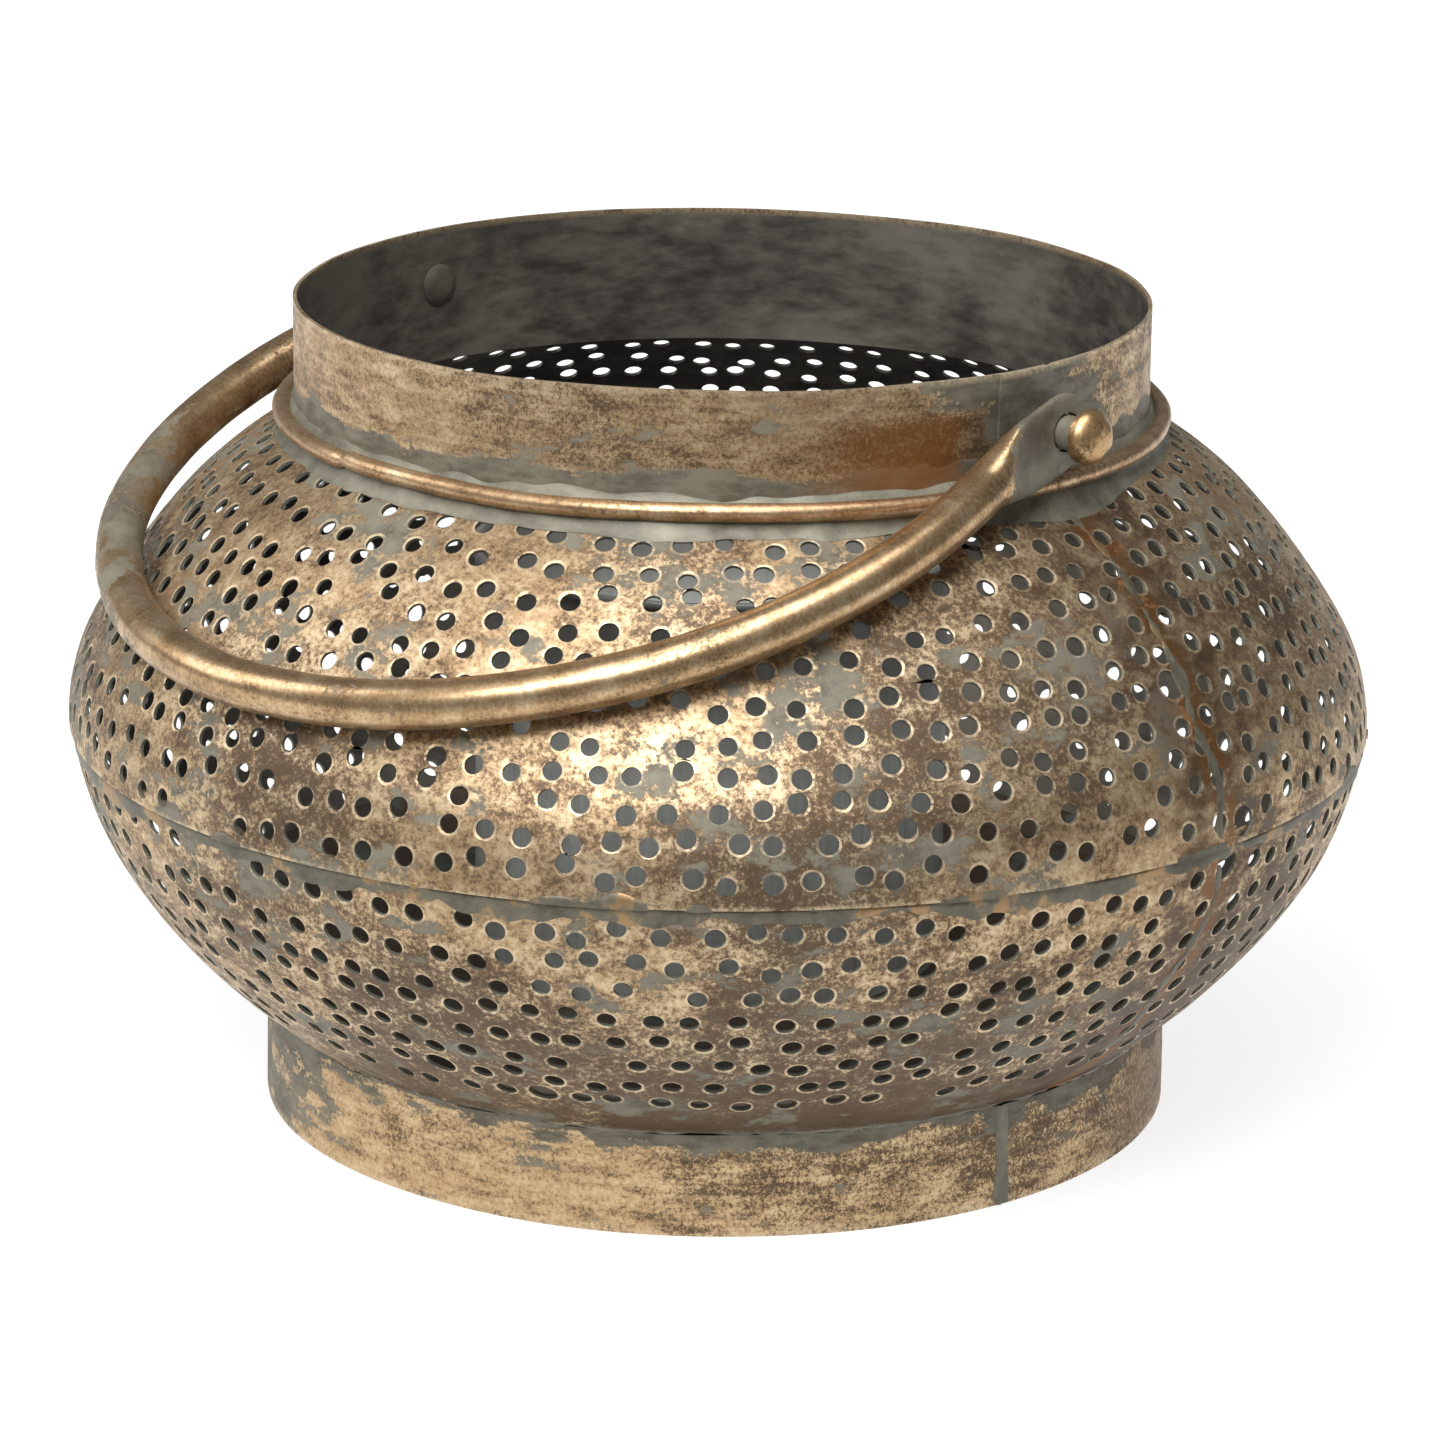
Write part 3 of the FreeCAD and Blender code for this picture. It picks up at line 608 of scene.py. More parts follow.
    # the sheet was spun by hand, so its surface is gently uneven
    dentScale = add("Math DIVIDE", [1.0, (given, "Dent Size")])
    dent = add("TexNoise", {"Vector": place, "Scale": dentScale, "Detail": 1.5})
    dentSide = add("Math MULTIPLY_ADD", [dent, 2.0, -1.0])
    dentBy = add("Math MULTIPLY", [dentSide, (given, "Dent Height")])
    middle = add("VectorMath SUBTRACT", [place, (0, 0, 85 * mm)])
    outwards = add("VectorMath NORMALIZE", [middle])
    push = add("VectorMath SCALE", {0: outwards, "Scale": dentBy})
    dented = add("SetPosition", {"Geometry": (cut, "Mesh"), "Offset": push})
    faceNormal = add("InputNormal")
    inwards = add("VectorMath DOT_PRODUCT", [faceNormal, outwards])
    isInner = add("Math LESS_THAN", [(inwards, "Value"), -0.3])
    lined = add("StoreNamedAttribute FLOAT", {"Geometry": dented, "Name": "inside", "Value": isInner},
        domain="FACE")
    fromRim = add("Math SUBTRACT", [(placeXyz, "Z"), (given, "Rim Height")])
    atRim = add("Math LESS_THAN", [add("Math ABSOLUTE", [fromRim]), 0.9 * mm])
    rimmed = add("StoreNamedAttribute FLOAT", {"Geometry": lined, "Name": "worn", "Value": atRim},
        domain="POINT")
    smooth = add("SetShadeSmooth", {"Geometry": rimmed, "Shade Smooth": True}, domain="FACE")
    steep = add("Compare GREATER_THAN", [add("InputMeshEdgeAngle"), math.radians(9)], data_type="FLOAT")
    creased = add("SetShadeSmooth", {"Geometry": smooth, "Selection": steep, "Shade Smooth": False},
        domain="EDGE")
    real = add("RealizeInstances", {"Geometry": creased})
    painted = add("SetMaterial", {"Geometry": real, "Material": (given, "Material")})
    add("GroupOutput", {"Geometry": painted})
    return tree


def punchShell(thing, tree, material, inputs):
    modifier = thing.modifiers.new("punched", "NODES")
    modifier.node_group = tree
    sockets = {item.name: item.identifier for item in tree.interface.items_tree if item.in_out == "INPUT"}
    for name, value in dict(inputs, Material=material).items():
        modifier[sockets[name]] = value
    graph = bpy.context.evaluated_depsgraph_get()
    mesh = bpy.data.meshes.new_from_object(thing.evaluated_get(graph))
    thing.modifiers.remove(modifier)
    for spent in ("rowLine", "rowNumber", "rowTangent", "aim"):
        if spent in mesh.attributes:
            mesh.attributes.remove(mesh.attributes[spent])
    mesh.name = thing.name
    thing.data = mesh


def domeSide(inset):
    edge = (bodyForm["bellyRadius"] - inset, bodyForm["bellyHeight"] - bodyForm["skirt"])
    return [edge] + [p for p in meridianPoints(bodyForm["domeArcs"], 1, inset) if p[0] > bodyForm["throat"]]


def bowlSide(inset):
    # the bowl reaches up inside the dome by the tuck, and ends in a clean edge at the foot
    tuck = meridianPoints([(bodyForm["domeArcs"][0][0], bodyForm["bowlTuck"])], 1, inset)
    side = tuck[:0:-1] + meridianPoints(bodyForm["bowlArcs"], -1, inset)
    lowest = bodyForm["bowlBottom"]
    return [p for p in side if p[1] > lowest] + [(radiusAt(side, lowest), lowest)]


domeOut, domeIn = domeSide(0.0), domeSide(bodyForm["sheet"])
bowlOut, bowlIn = bowlSide(bodyForm["bowlInset"]), bowlSide(bodyForm["bowlInset"] + bodyForm["sheet"])

punchTree = buildPunchTree()
upperDome = sectionObject("upperDome", domeOut, domeIn,
                          lambda r, z: z > bodyForm["domeRows"][0] and r > bodyForm["domeRows"][1])
punchShell(upperDome, punchTree, punchedBrass, {"Seed": 3})
finishPiece(upperDome, "lantern_body", ["upper_dome"], punchedBrass)
lowerBowl = sectionObject("lowerBowl", bowlOut, bowlIn,
                          lambda r, z: bodyForm["bowlRows"][0] > z > bodyForm["bowlRows"][1])
punchShell(lowerBowl, punchTree, punchedBrass, {"Seed": 8, "Rim Height": 0.0})
finishPiece(lowerBowl, "lantern_body", ["lower_bowl"], punchedBrass)


solderForm = {
    "bellyTop": 84.5,        # under the dome's edge
    "bellyDrop": 3.2,        # mm that it usually runs down the bowl
    "bellyThick": 0.45,
    "seamWidth": 2.6,
    "seamThick": 0.16,
}


def seamBearing(height):
    # straight up the body, wandering a little where the iron slipped
    return 1.3 + 1.0 * wobble(0, 9, height, 17, 1)


def polar(radius, degrees, height):
    turn = math.radians(degrees)
    return (radius * math.cos(turn), radius * math.sin(turn), height)


rings = []
for i in range(540):
    degrees = 360 * i / 540
    x, y, z = polar(140, degrees, 82)
    run = solderForm["bellyDrop"] + 1.5 * wobble(x, y, z, 13, 4) + 1.1 * wobble(x, y, z, 4.2, 9)
    run = max(0.9, run)
    thick = solderForm["bellyThick"] * (1 + 0.5 * wobble(x, y, z, 7, 2))
    top = solderForm["bellyTop"]
    # here and there it climbs over the dome's edge, and its tucked top is then drawn up the dome
    climb = 3.4 * max(0.0, 0.55 * wobble(x, y, z, 8, 7) + 0.6 * wobble(x, y, z, 24, 3) - 0.12)
    over = ease(0.1, 1.0, climb)
    edge = bodyForm["bellyHeight"] - bodyForm["skirt"]
    ring = [polar(bodyForm["bellyRadius"] - 1.1, degrees, top)]
    for tucked, drawn in (((139.0, 84.2), (radiusAt(domeOut, edge + climb) - 0.1, edge + climb)),
                          ((139.2, 84.0), (radiusAt(domeOut, edge + climb) + 0.2, edge + 0.9 * climb)),
                          ((139.3, 83.95), (140.22, edge + 0.4 * climb)), ((139.35, 83.9), (140.2, 83.7))):
        ring.append(polar(tucked[0] + (drawn[0] - tucked[0]) * over, degrees,
                          tucked[1] + (drawn[1] - tucked[1]) * over))
    for share, lift in ((0.0, 0.9), (0.18, 1.15), (0.45, 1.0), (0.75, 0.75), (0.93, 0.35), (1.0, -0.15)):
        height = edge - 0.3 - run * share
        radius = radiusAt(bowlOut, height) + thick * lift * (0.85 + 0.25 * wobble(x, y, height, 2.6, 5))
        ring.append(polar(min(radius, 140.1), degrees, height))
    ring.append(polar(radiusAt(bowlOut, top - run * 0.6) - 0.3, degrees, top - run * 0.6))
    rings.append(ring)
bellySolder = meshObject("bellySolder", *wrapRings(rings, True), sharp=60)
finishPiece(bellySolder, "lantern_body", ["belly_solder_line"], seamSolder)


def seamStrip(name, meridian, lowest, highest, node):
    rings = []
    heights = [p for p in meridian if lowest <= p[1] <= highest]
    fine = []
    for a, b in zip(heights, heights[1:]):
        fine += [(a[0] + (b[0] - a[0]) * t / 3, a[1] + (b[1] - a[1]) * t / 3) for t in range(3)]
    for i, (radius, height) in enumerate(fine[1:-1], 1):
        before, after = fine[i - 1], fine[i + 1]
        length = math.hypot(after[0] - before[0], after[1] - before[1])
        normal = (abs(after[1] - before[1]) / length, (before[0] - after[0]) / length
                  * (1 if after[1] > before[1] else -1))
        width = solderForm["seamWidth"] * max(0.2, 0.9 + wobble(radius, 0, height, 5, 3))
        thick = solderForm["seamThick"] * (1 + 0.5 * wobble(radius, 0, height, 4, 6))
        middle = seamBearing(height)
        ring = []
        for side, lift in ((-0.5, -0.3), (-0.36, 0.45), (-0.12, 0.8), (0.08, 1.0), (0.3, 0.6), (0.5, -0.3),
                           (0.3, -0.8), (-0.3, -0.8)):
            up = thick * lift
            ragged = 0.5 * wobble(radius, 7 * side, height, 2.2, 4)
            degrees = middle + math.degrees((width * side + ragged) / radius)
            ring.append(polar(radius + normal[0] * up, degrees, height + normal[1] * up))
        rings.append(ring)
    strip = meshObject(name, *wrapRings(rings, False), sharp=50)
    finishPiece(strip, "lantern_body", [node], seamSolder)


seamStrip("upperSeamSolder", domeOut, 85, 148, "upper_seam_solder")
seamStrip("lowerSeamSolder", bowlOut, 26, 81.5, "lower_seam_solder")


neckForm = {
    "radius": 91.1,
    "bottom": 145.5,
    "top": 175.6,
    "lapBearing": -7.6,
    "lapWidth": 13.3,
    "beadRadius": 93.85,
    "beadHeight": 151.5,
    "beadWire": 1.95,
    "filletOut": 4.7,
    "filletTop": 154.3,
    "joinBearing": -100.0,     # where the bead's two ends meet
}


def lappedBand(name, form, wall, levels, waver, painter=None):
    # a strip rolled once round, its first end lying outside the last; painter gives tarnish and burn
    radius, bottom, top, lapBearing = (form[key] for key in ("radius", "bottom", "top", "lapBearing"))
    lap = math.degrees(form["lapWidth"] / radius)
    jog = math.degrees(2.6 / radius)
    count = 300
    rings, paint = [], {"worn": [], "inside": [], "tarnish": [], "burn": []}
    for i in range(count + 1):
        t = (360 + lap) * i / count
        rise = 1 - ease(lap, lap + jog, t)
        ring = []
        for skin in (0, 1):
            for k in range(levels + 1):
                share = k / levels if skin == 0 else 1 - k / levels
                z = bottom + (top - bottom) * share
                x, y, _ = polar(radius, lapBearing + t, z)
                r = radius + wall * rise * 1.02 - wall * skin + waver * wobble(x, y, z, 38, 5)
                lift = 0.25 * wobble(x, y, 0, 30, 2) * share
                ring.append(polar(r, lapBearing + t, z + lift))
                tarnish, burn = painter(x, y, z, t) if painter else (0.0, 0.0)
                paint["worn"].append(ease(0.955, 0.99, share))
                paint["inside"].append(float(skin and share < 0.99))
                paint["tarnish"].append(tarnish)
                paint["burn"].append(burn)
        rings.append(ring)
    return meshObject(name, *wrapRings(rings, False), paint=paint, sharp=35)


def paintNeck(x, y, z, t):
    # grey-green above the bead and about the lap, burnt brown where the torch was held beside it
    low = 1 - ease(155.5, 160.5, z + 1.6 * wobble(x, y, z, 10, 3))
    lap = ease(-6, 2, t) * (1 - ease(14, 26, t)) + ease(356, 362, t)
    dark = 0.75 * ease(340, 352, t) * ease(166, 172, z)
    torch = ease(322, 346, t) * (1 - ease(352, 358, t)) * (1 - ease(166, 172, z))
    return max(low, 0.8 * lap, dark), torch


neckCollar = lappedBand("neckCollar", neckForm, bodyForm["sheet"], 20, 0.25, paintNeck)
finishPiece(neckCollar, "lantern_body", ["neck_collar"], plainBrass)

rings = []
for i in range(420):
    degrees = 360 * i / 420
    x, y, z = polar(neckForm["beadRadius"], degrees, neckForm["beadHeight"])
    off = (degrees - neckForm["joinBearing"] + 180) % 360 - 180
    pinch = math.exp(-(off / 0.5) ** 2)
    step = 0.35 * (1 if off > 0 else -1) * math.exp(-abs(off) / 6)
    ringRadius = neckForm["beadRadius"] + 0.14 * wobble(x, y, z, 26, 7)
    height = neckForm["beadHeight"] + 0.30 * wobble(x, y, z, 33, 3) + step
    wire = neckForm["beadWire"] * (1 + 0.03 * wobble(x, y, z, 8, 8)) * (1 - 0.42 * pinch)
    rings.append([polar(ringRadius + wire * math.cos(a * math.pi / 10), degrees,
                        height + wire * math.sin(a * math.pi / 10)) for a in range(20)])
neckBead = meshObject("neckBead", *wrapRings(rings, True))
finishPiece(neckBead, "lantern_body", ["neck_bead_ring"], wireBrass)

rings = []
for i in range(600):
    degrees = 360 * i / 600
    x, y, z = polar(96, degrees, 148)
    run = 3.2 * math.exp(-((degrees - 4 + 180) % 360 - 180) ** 2 / 90)    # it ran down over the upright seam
    out = neckForm["radius"] + neckForm["filletOut"] + run
    out += 0.7 * wobble(x, y, z, 24, 2) + 0.4 * wobble(x, y, z, 5, 6)
    fat = 0.55 + 0.25 * wobble(x, y, z, 6, 1)
    neckSkin = neckForm["radius"] + 0.1
    upper = neckForm["filletTop"] + 0.8 * wobble(x, y, z, 9, 4)
    low = heightAt(domeOut, out)
    mid = (neckSkin + out) / 2 + 0.6
    rings.append([polar(r, degrees, h) for r, h in (
        (neckSkin - 0.4, 148.6), (neckSkin - 0.4, upper), (neckSkin + 0.35, upper - 0.2),
        (neckSkin + 0.9, upper - 1.6), (neckSkin + 2.0, 151.6), (mid, heightAt(domeOut, mid) + 1.2 + fat),
        (out - 1.3, heightAt(domeOut, out - 1.3) + 0.35 + fat * 0.6), (out - 0.35, low + 0.42),
        (out, low + 0.08), (out - 0.3, low - 0.3), (mid, heightAt(domeOut, mid) - 0.4))])
neckFillet = meshObject("neckFillet", *wrapRings(rings, True), sharp=70)
finishPiece(neckFillet, "lantern_body", ["neck_solder_fillet"], solder)


footForm = {
    "bottomRadius": 98.6,
    "topRadius": 98.2,
    "height": 22.0,
    "seamBearing": -7.4,
    "seamRadius": 98.4,
    "solder": 1.0,
    "solderAt": (97.7, 22.5),     # radius and height of the bead's middle
}

rings, paint = [], {"worn": [], "tarnish": [], "burn": []}
for i in range(300):
    degrees = 360 * i / 300
    browned = ease(-8, 22, (degrees + 180) % 360 - 180) * (1 - ease(80, 110, (degrees + 180) % 360 - 180))
    dull = ease(185, 214, degrees) * (1 - ease(246, 266, degrees))
    ring = []
    for skin in (0, 1):
        for k in range(11):
            share = k / 10 if skin == 0 else 1 - k / 10
            z = footForm["height"] * share
            r = footForm["bottomRadius"] + (footForm["topRadius"] - footForm["bottomRadius"]) * share
            x, y, _ = polar(r, degrees, z)
            r += 0.2 * wobble(x, y, z, 30, 6) - bodyForm["sheet"] * skin
            ring.append(polar(r, degrees, z + 0.25 * wobble(x, y, 0, 22, 3) * ease(0.5, 1, share)))
            paint["worn"].append(0.8 * (1 - ease(0.01, 0.06, share)) if skin == 0 else 0.0)
            upper = 0.8 * ease(0.72, 0.98, share + 0.12 * wobble(x, y, z, 9, 5))
            paint["tarnish"].append(max(upper, 0.62 * dull))
            paint["burn"].append(0.9 * browned)
    rings.append(ring)
footRing = meshObject("footRing", *wrapRings(rings, True), paint=paint, sharp=35)
finishPiece(footRing, "lantern_body", ["foot_ring"], footBrass)

rings = []
for k in range(41):
    share = k / 40
    z = 0.2 + (footForm["height"] - 0.3) * share
    half = (2.3 - 0.7 * share) * (1 + 0.22 * wobble(0, 0, z, 5, 2))
    thick = (1.0 - 0.4 * share) * (1 + 0.25 * wobble(0, 3, z, 3.5, 5))
    ring = []
    for side, lift in ((-1, -0.2), (-0.75, 0.75), (-0.45, 1.0), (-0.15, 0.6), (0.3, 0.42), (0.75, 0.35),
                       (1, -0.2), (0, -0.5)):
        degrees = footForm["seamBearing"] + math.degrees(half * side / footForm["seamRadius"])
        ring.append(polar(footForm["seamRadius"] + thick * lift - 0.3 * share, degrees, z))
    rings.append(ring)
footSeam = meshObject("footSeam", *wrapRings(rings, False), sharp=50)
finishPiece(footSeam, "lantern_body", ["foot_seam_solder"], solder)

rings = []
for i in range(540):
    degrees = 360 * i / 540
    x, y, z = polar(98, degrees, 22)
    bead = footForm["solder"] * (0.75 + 0.35 * wobble(x, y, z, 11, 4) + 0.3 * wobble(x, y, z, 3.5, 8))
    bead = max(0.3, bead)
    rings.append([polar(footForm["solderAt"][0] + bead * math.cos(a * math.pi / 5), degrees,
                        footForm["solderAt"][1] + bead * math.sin(a * math.pi / 5)) for a in range(10)])
footSolder = meshObject("footSolder", *wrapRings(rings, True), sharp=60)
finishPiece(footSolder, "lantern_body", ["foot_solder_bead"], solder)

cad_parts["floor_pan"].data.materials.clear()
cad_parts["floor_pan"].data.materials.append(innerSheet)


cupForm = {
    "radius": 51.0,
    "sheet": 0.5,
    "bottom": 31.0,
    "top": 120.3,
    "lapBearing": -30.0,
    "lapWidth": 6.5,
    "rimWire": 1.1,
    "baseHeight": 33.0,
    "shift": Vector((-1.2, -1.2, 0)) * mm,
}


def shiftCup(thing):
    thing.data.transform(Matrix.Translation(cupForm["shift"]))
    return thing


cupWall = shiftCup(lappedBand("cupWall", cupForm, cupForm["sheet"], 16, 0.18))
finishPiece(cupWall, "candle_cup", ["candle_cup_wall"], zinc)

rings = []
for i in range(160):
    degrees = 360 * i / 160
    x, y, z = polar(51, degrees, 120)
    wire = cupForm["rimWire"] * (1 + 0.05 * wobble(x, y, z, 9, 3))
    rings.append([polar(cupForm["radius"] + wire * math.cos(a * math.pi / 6), degrees,
                        cupForm["top"] + 0.15 * wobble(x, y, z, 25, 6) + wire * math.sin(a * math.pi / 6))
                  for a in range(12)])
cupRim = shiftCup(meshObject("cupRim", *wrapRings(rings, True)))
finishPiece(cupRim, "candle_cup", ["candle_cup_rim"], zinc)

steps = (50.5, 49.6, 48.8, 47.5, 36, 24, 12, 2)
rings = []
for i in range(120):
    degrees = 3 * i
    level = cupForm["baseHeight"] + 0.5
    topSide = [(r, level + (0.9 if r > 49 else 0.25 * wobble(r, 0, 0, 20, 2))) for r in steps]
    under = [(r, z - 0.5) for r, z in reversed(topSide)]
    rings.append([polar(r, degrees, z) for r, z in topSide + under])
points, faces = wrapRings(rings, True, closedAcross=False)
across = 2 * len(steps)
for edge in (len(steps) - 1, len(steps)):      # close the middle of both skins
    hubPoint = len(points)
    points.append((0, 0, points[edge][2]))
    for i in range(120):
        faces.append((i * across + edge, ((i + 1) % 120) * across + edge, hubPoint))
edges = {len(steps) - 1, len(steps)}
faces = [f for f in faces if not (len(f) == 4 and {f[0] % across, f[1] % across} == edges)]
for i in range(120):
    j = (i + 1) % 120
    faces.append((i * across, i * across + across - 1, j * across + across - 1, j * across))
cupBase = shiftCup(meshObject("cupBase", points, faces))
finishPiece(cupBase, "candle_cup", ["candle_cup_base"], zinc)


pinForm = {
    "height": 163.0,
    "radius": 3.55,
    "headRadius": 5.8,
    "headStart": 103.2,
    "headEdge": 1.3,
    "headDepth": 4.9,
    "tailRadius": 4.7,
    "tailStart": 88.9,
    "tailDepth": 1.2,
}


def pinProfile():
    form = pinForm
    # (along, radius) from the peened tail inside the neck to the domed head
    tail, tailEnd = form["tailStart"], form["tailStart"] + form["tailDepth"]
    profile = [(tail, 0.0), (tail, 2.2), (tail + 0.3, 3.9), (tail + 0.8, form["tailRadius"]),
               (tailEnd, form["tailRadius"] - 0.1), (tailEnd, form["radius"])]
    profile += [(x, form["radius"]) for x in (93, 95.5, 98, 100.5, form["headStart"])]
    profile += [(form["headStart"], 5.0), (form["headStart"] + 0.25, 5.65)]
    corner, end = form["headStart"] + form["headEdge"], form["headStart"] + form["headDepth"]
    for k in range(9):
        turn = math.pi / 2 * k / 8
        along = corner + (end - corner) * math.sin(turn) ** 1.15
        profile.append((along, form["headRadius"] * math.cos(turn)))
    return profile


def buildPin(name, node, side, seed):
    profile = pinProfile()
    rings, paint = [], {"worn": [], "tarnish": [], "inside": []}
    for x, r in profile:
        ring = []
        for a in range(28):
            turn = math.radians(360 * a / 28)
            y, z = r * math.cos(turn), r * math.sin(turn)
            head = ease(pinForm["headStart"] - 0.1, pinForm["headStart"] + 0.4, x)
            hit = head * 0.16 * wobble(x, y, z, 2.6, seed) + 0.06 * wobble(x, y, z, 3.0, seed + 2)
            grow = 1 + hit / max(r, 2.0)
            ring.append((x + head * 0.2 * wobble(x, y, z, 2.2, seed + 5), y * grow, z * grow))
            paint["worn"].append(0.9 * head)
            paint["tarnish"].append(1.0 - 1.4 * head)
            paint["inside"].append(float(x < pinForm["tailStart"] + pinForm["tailDepth"] + 0.1))
        rings.append(ring)
    for values in paint.values():       # the two rings of zero radius are left out
        del values[:28], values[-28:]
    pin = meshObject(name, *wrapRings(rings[1:-1], False), paint=paint, sharp=40)
    pin.data.transform(Matrix.Translation((0, 0, pinForm["height"] * mm)) @ Matrix.Rotation(
        0 if side > 0 else math.pi, 4, "Z"))
    finishPiece(pin, "lantern_body", [node], pinBrass)


buildPin("pinRight", "bail_pin_right", 1, 3)
buildPin("pinLeft", "bail_pin_left", -1, 12)


bailForm = {
    "tube": 5.0,
    "archHeight": 142.6,
    "sideRadius": 91.8,
    "sideCentre": (8.4, 46.8),
    "flatStart": 25.0,
    "flatEnd": 9.0,
    "eyeRight": 97.7,
    "eyeLeft": 98.2,
    "eyeWidth": 7.9,           # half the width of the eye plate
    "eyeThick": 1.15,          # half its thickness
    "eyeHole": 4.1,
    "shift": -0.4,
    "droop": 19.4,
    "around": 28,
}


def archLine():
    # centre line of one side, from the eye's tip to the crown: (across, along, lean)
    form = bailForm
    centreX, centreZ = form["sideCentre"]
    rest = form["archHeight"] - form["sideRadius"]
    crownZ = (rest ** 2 - centreX ** 2 - centreZ ** 2) / (2 * (rest - centreZ))
    crownRadius = form["archHeight"] - crownZ
    meet = math.atan2(centreZ - crownZ, centreX)
    start = -math.asin((centreZ - form["flatStart"]) / form["sideRadius"])
    line = []
    for steps, x, z, radius, first, last in ((46, centreX, centreZ, form["sideRadius"], start, meet),
                                             (34, 0.0, crownZ, crownRadius, meet, math.pi / 2)):
        for i in range(1 if line else 0, steps + 1):
            turn = first + (last - first) * i / steps
            line.append((x + radius * math.cos(turn), z + radius * math.sin(turn), turn))
    return line


def bailSide(eyeSpan):
    # stations from the eye's tip to the crown: across, along, lean, half thickness, half width, squareness
    form = bailForm
    arch = archLine()
    tubeAcross, _, tubeLean = arch[0]
    stations = []
    for k in range(9):
        turn = math.pi / 2 * (1 - k / 8)
        along = -form["eyeWidth"] * math.sin(turn)
        width = max(0.9, form["eyeWidth"] * math.cos(turn))
        stations.append((eyeSpan, along, 0.0, form["eyeThick"], width, 5.0))
    for along in (2, 4, 6, 7.5):
        stations.append((eyeSpan, along, 0.0, form["eyeThick"], form["eyeWidth"], 5.0))
    for k in range(14):
        part = k / 14
        soft = part * part * (3 - 2 * part)
        across = eyeSpan + (tubeAcross - eyeSpan) * (0.6 * part + 0.4 * soft)
        along = form["flatEnd"] + (form["flatStart"] - form["flatEnd"]) * part
        thick = form["eyeThick"] + (form["tube"] - form["eyeThick"]) * soft
        width = form["eyeWidth"] + (form["tube"] - form["eyeWidth"]) * soft
        stations.append((across, along, tubeLean * part, thick, width, 5.0 - 3.0 * soft))
    stations += [(x, z, lean, form["tube"], form["tube"], 2.0) for x, z, lean in arch]
    return stations


def buildBail():
    form = bailForm
    right = bailSide(form["eyeRight"])
    left = [(-x, z, math.pi - lean, thick, width, square)
            for x, z, lean, thick, width, square in reversed(bailSide(form["eyeLeft"])[:-1])]
    stations = right + left
    rings, travelled, lengths, tarnish = [], 0.0, [], []
    for i, (x, z, lean, thick, width, square) in enumerate(stations):
        if i:
            travelled += math.hypot(x - stations[i - 1][0], z - stations[i - 1][1])
        lengths.append(travelled)
        ring = []
        for a in range(form["around"]):
            turn = 2 * math.pi * a / form["around"]
            c, s = math.cos(turn), math.sin(turn)
            out = math.copysign(abs(c) ** (2 / square), c) * thick
            side = math.copysign(abs(s) ** (2 / square), s) * width
            bend = 0.12 * wobble(x, side, z, 24, 4)
            out += bend + 0.05 * wobble(x + out, side, z, 5, 6)
            ring.append((x + out * math.cos(lean), side, z + out * math.sin(lean)))
            pressed = 1 - ease(14, 24, z + 0.8 * side)
            # painted shade: the face of the tube turned down onto the dome gets more grey-green; past x -20
            # mm up the left arm the grey-green is tarnish
            handledAndUnderShade = 0.55 * ease(-20, -60, x) * ease(40, 90, z) + 0.25 * ease(0.2, 1.0, -s)
            tarnish.append(max(pressed, handledAndUnderShade))
        rings.append(ring)
    points, faces = wrapRings(rings, False)
    uv = []
    around = form["around"]
    tubeGirth = 2 * math.pi * form["tube"]
    for face in faces:
        if len(face) == 4:
            i, k = divmod(face[0], around)
            near, far = k / around * tubeGirth * mm, (k + 1) / around * tubeGirth * mm
            here, there = lengths[i] * mm, lengths[i + 1] * mm
            uv += [(here, near), (here, far), (there, far), (there, near)]
        else:
            uv += [(points[p][2] * mm, points[p][1] * mm) for p in face]
    bail = meshObject("bailHandle", points, faces, paint={"tarnish": tarnish}, uv=uv, sharp=40)
    for span in (form["eyeRight"], -form["eyeLeft"]):
        drill = bpy.data.meshes.new("drill")
        cylinder = bmesh.new()
        bmesh.ops.create_cone(cylinder, cap_ends=True, segments=40, radius1=form["eyeHole"] * mm,
                              radius2=form["eyeHole"] * mm, depth=12 * mm, matrix=Matrix.Translation(
                                  (span * mm, 0, 0)) @ Matrix.Rotation(math.pi / 2, 4, "Y"))
        cylinder.to_mesh(drill)
        cylinder.free()
        drillObject = bpy.data.objects.new("drill", drill)
        scene.collection.objects.link(drillObject)
        cutter = bail.modifiers.new("eye", "BOOLEAN")
        cutter.operation, cutter.solver, cutter.object = "DIFFERENCE", "EXACT", drillObject
        graph = bpy.context.evaluated_depsgraph_get()
        bail.data = bpy.data.meshes.new_from_object(bail.evaluated_get(graph))
        bail.modifiers.clear()
        bpy.data.objects.remove(drillObject)
    merged = bmesh.new()
    merged.from_mesh(bail.data)
    bmesh.ops.remove_doubles(merged, verts=merged.verts, dist=0.02 * mm)
    bmesh.ops.dissolve_degenerate(merged, edges=merged.edges, dist=0.01 * mm)
    merged.to_mesh(bail.data)
    merged.free()
    for point in bail.data.vertices:       # the walls of the eyes are as dull as the plates
        if point.co.z < 10 * mm:
            bail.data.attributes["tarnish"].data[point.index].value = 1.0
    turn = Matrix.Rotation(math.radians(90 + form["droop"]), 4, "X")
    bail.data.transform(Matrix.Translation((form["shift"] * mm, 0, pinForm["height"] * mm)) @ turn)
    turnOutwards(bail, 40)
    bail.data.name = "bailHandle"
    finishPiece(bail, "bail", ["handle_bail"], tubeBrass)


buildBail()


studio = {
    "floor": "#8f8f8d",
    "floorDark": "#8a8a88",
    "glowNear": 0.84,
    "glowFar": 1.0,
    "glowReach": (0.16, 0.55),     # m from the middle
    "footShade": 0.097,            # m, no glow under the foot
    "fadeReach": (0.23, 0.38),     # m in front of it
    "world": 0.16,
    "keyPower": 20.0,
    "leftPower": 6.0,
    "topPower": 14.0,
    "cameraDistance": 1.186696,
    "cameraHeight": 0.433512,
    "cameraPitch": 16.567,
    "cameraRoll": 0.7008,
    "cameraYaw": 0.0467,
    "lens": 142.034,
}

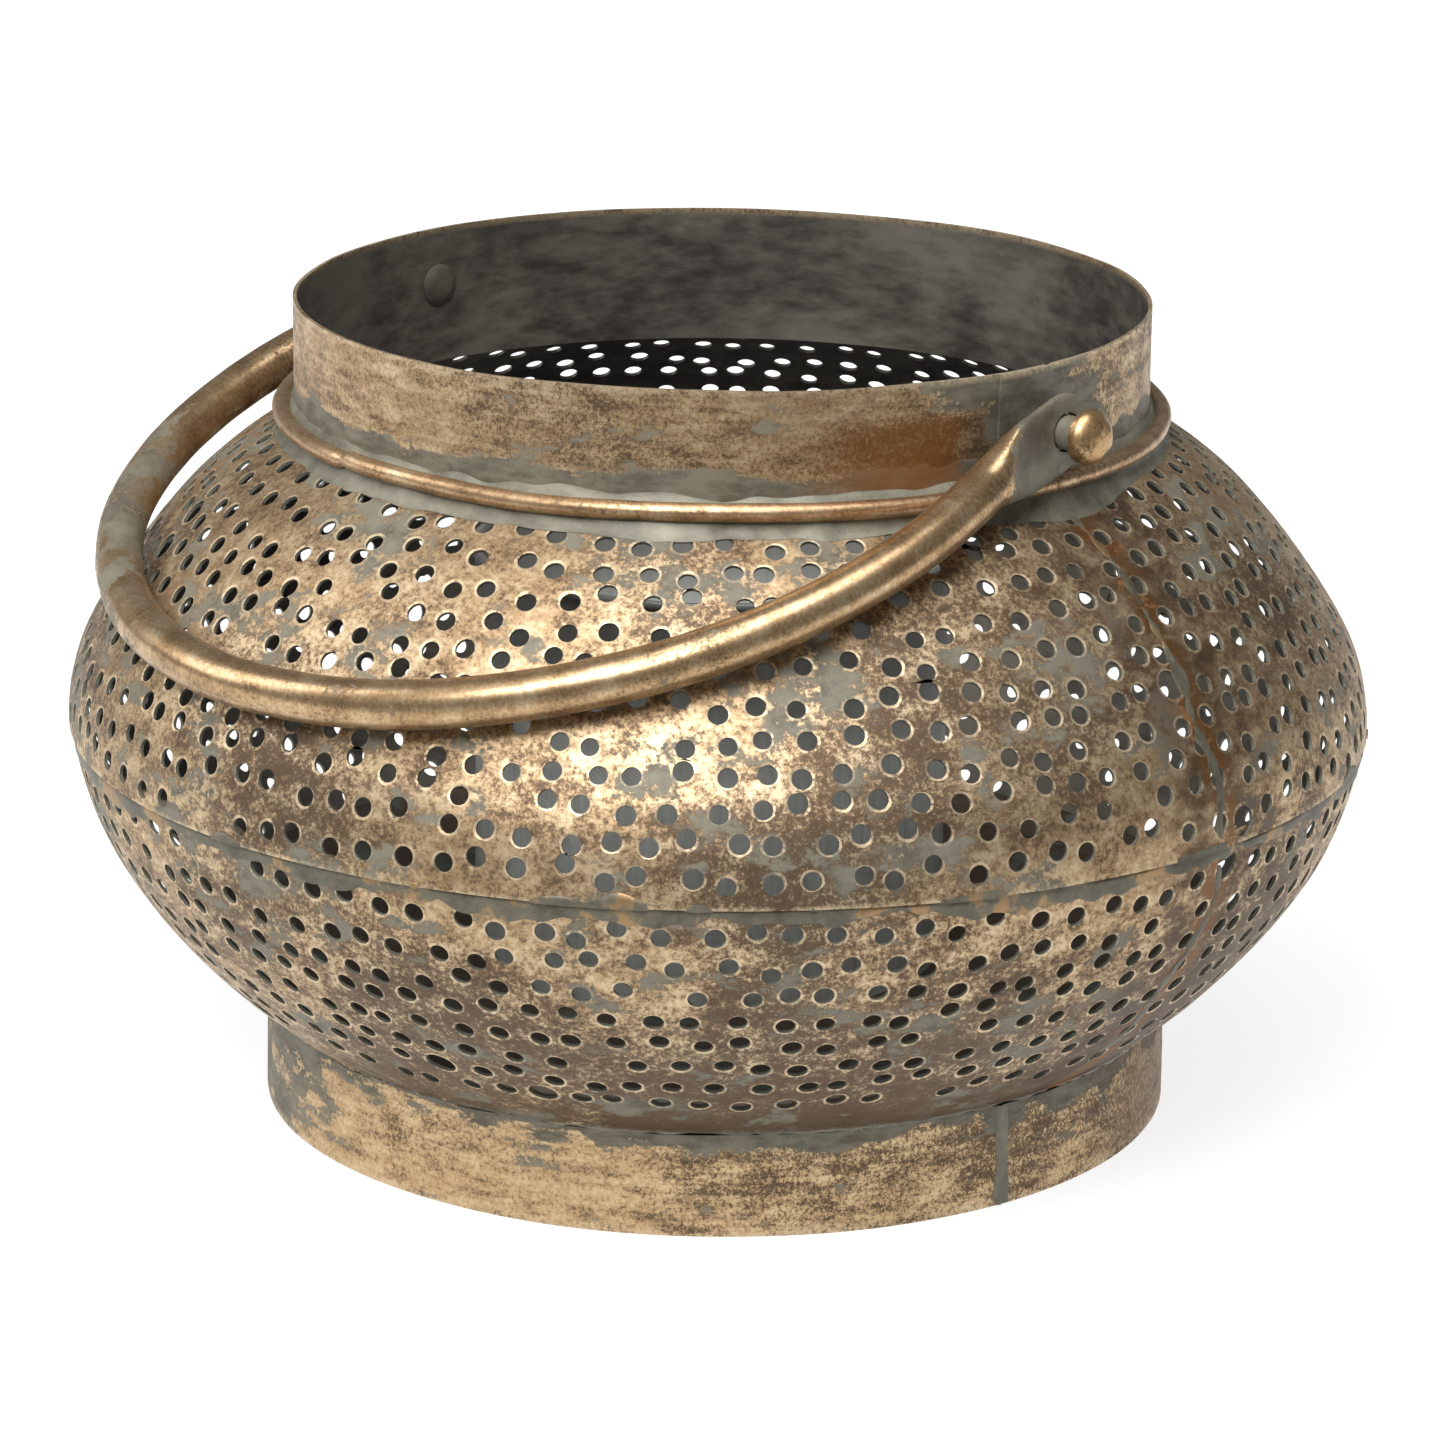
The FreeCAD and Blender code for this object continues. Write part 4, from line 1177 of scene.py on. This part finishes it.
bpy.ops.mesh.primitive_plane_add(size=14)
floor = bpy.context.object
floor.name = "studioFloor"
paper, paperAdd = newMaterial("paleStudioPaper")
paperPlace = paperAdd("TexCoord")
paperNoise = paperAdd("TexNoise", {"Vector": (paperPlace, "Object"), "Scale": 3.0})
paperTone = paperAdd("Mix RGBA", {"Factor": paperNoise, "A": hexColour(studio["floorDark"]),
    "B": hexColour(studio["floor"])})
# painted light: the paper glows like a lit sweep round and behind the lantern, which hides the lantern's
# shadow on it, and falls off into the room in front
away = paperAdd("VectorMath LENGTH", [(paperPlace, "Object")])
glow = paperAdd("MapRange", {"Value": (away, "Value"), "From Min": studio["glowReach"][0],
    "From Max": studio["glowReach"][1], "To Min": studio["glowNear"], "To Max": studio["glowFar"]})
front = paperAdd("VectorMath DOT_PRODUCT", [(paperPlace, "Object"), (0.7071, -0.7071, 0)])
covered = paperAdd("Math GREATER_THAN", [(away, "Value"), studio["footShade"]])
frontFade = paperAdd("MapRange SMOOTHSTEP",
    {"Value": (front, "Value"), "From Min": studio["fadeReach"][0], "From Max": studio["fadeReach"][1],
    "To Min": 1.0, "To Max": 0.0})
openGlow = paperAdd("Math MULTIPLY", [glow, covered])
glowHere = paperAdd("Math MULTIPLY", [openGlow, frontFade])
paperShader = paperAdd("BsdfPrincipled", {"Base Color": paperTone, "Roughness": 0.9,
    "Specular IOR Level": 0.2, "Emission Color": hexColour("#ffffff"), "Emission Strength": glowHere})
paperAdd("OutputMaterial", {"Surface": paperShader})
floor.data.materials.append(paper)

world = bpy.data.worlds.new("studioRoom")
scene.world = world
world.use_nodes = True
world.node_tree.nodes["Background"].inputs["Color"].default_value = (1, 1, 1, 1)
world.node_tree.nodes["Background"].inputs["Strength"].default_value = studio["world"]


def addSoftbox(name, bearing, elevation, distance, width, height, power):
    lamp = bpy.data.lights.new(name, "AREA")
    lamp.shape, lamp.size, lamp.size_y, lamp.energy = "RECTANGLE", width, height, power
    holder = bpy.data.objects.new(name, lamp)
    scene.collection.objects.link(holder)
    target = Vector((0, 0, 0.09))
    flatLength = distance * math.cos(math.radians(elevation))
    holder.location = target + Vector((flatLength * math.cos(math.radians(bearing)),
                                       flatLength * math.sin(math.radians(bearing)),
                                       distance * math.sin(math.radians(elevation))))
    holder.rotation_euler = (target - holder.location).to_track_quat("-Z", "Y").to_euler()


addSoftbox("keyBox", bearingOfCamera - 20, 44, 1.5, 0.9, 0.6, studio["keyPower"])
addSoftbox("leftBox", bearingOfCamera - 95, 32, 1.4, 0.5, 0.9, studio["leftPower"])
addSoftbox("topBox", bearingOfCamera + 4, 70, 1.5, 1.2, 0.8, studio["topPower"])

cameraData = bpy.data.cameras.new("viewCamera")
cameraData.lens = studio["lens"]
cameraData.sensor_width = 36.0
cameraData.clip_end = 50
camera = bpy.data.objects.new("viewCamera", cameraData)
scene.collection.objects.link(camera)
camera.location = polar(studio["cameraDistance"], bearingOfCamera, studio["cameraHeight"])
heading = math.radians(bearingOfCamera + 90 - studio["cameraYaw"])
aim = Matrix.Rotation(heading, 3, "Z") @ Matrix.Rotation(math.radians(90 - studio["cameraPitch"]), 3, "X")
camera.rotation_euler = (aim @ Matrix.Rotation(math.radians(studio["cameraRoll"]), 3, "Z")).to_euler()
scene.camera = camera
scene.view_settings.view_transform = "Standard"
print("stage ready")
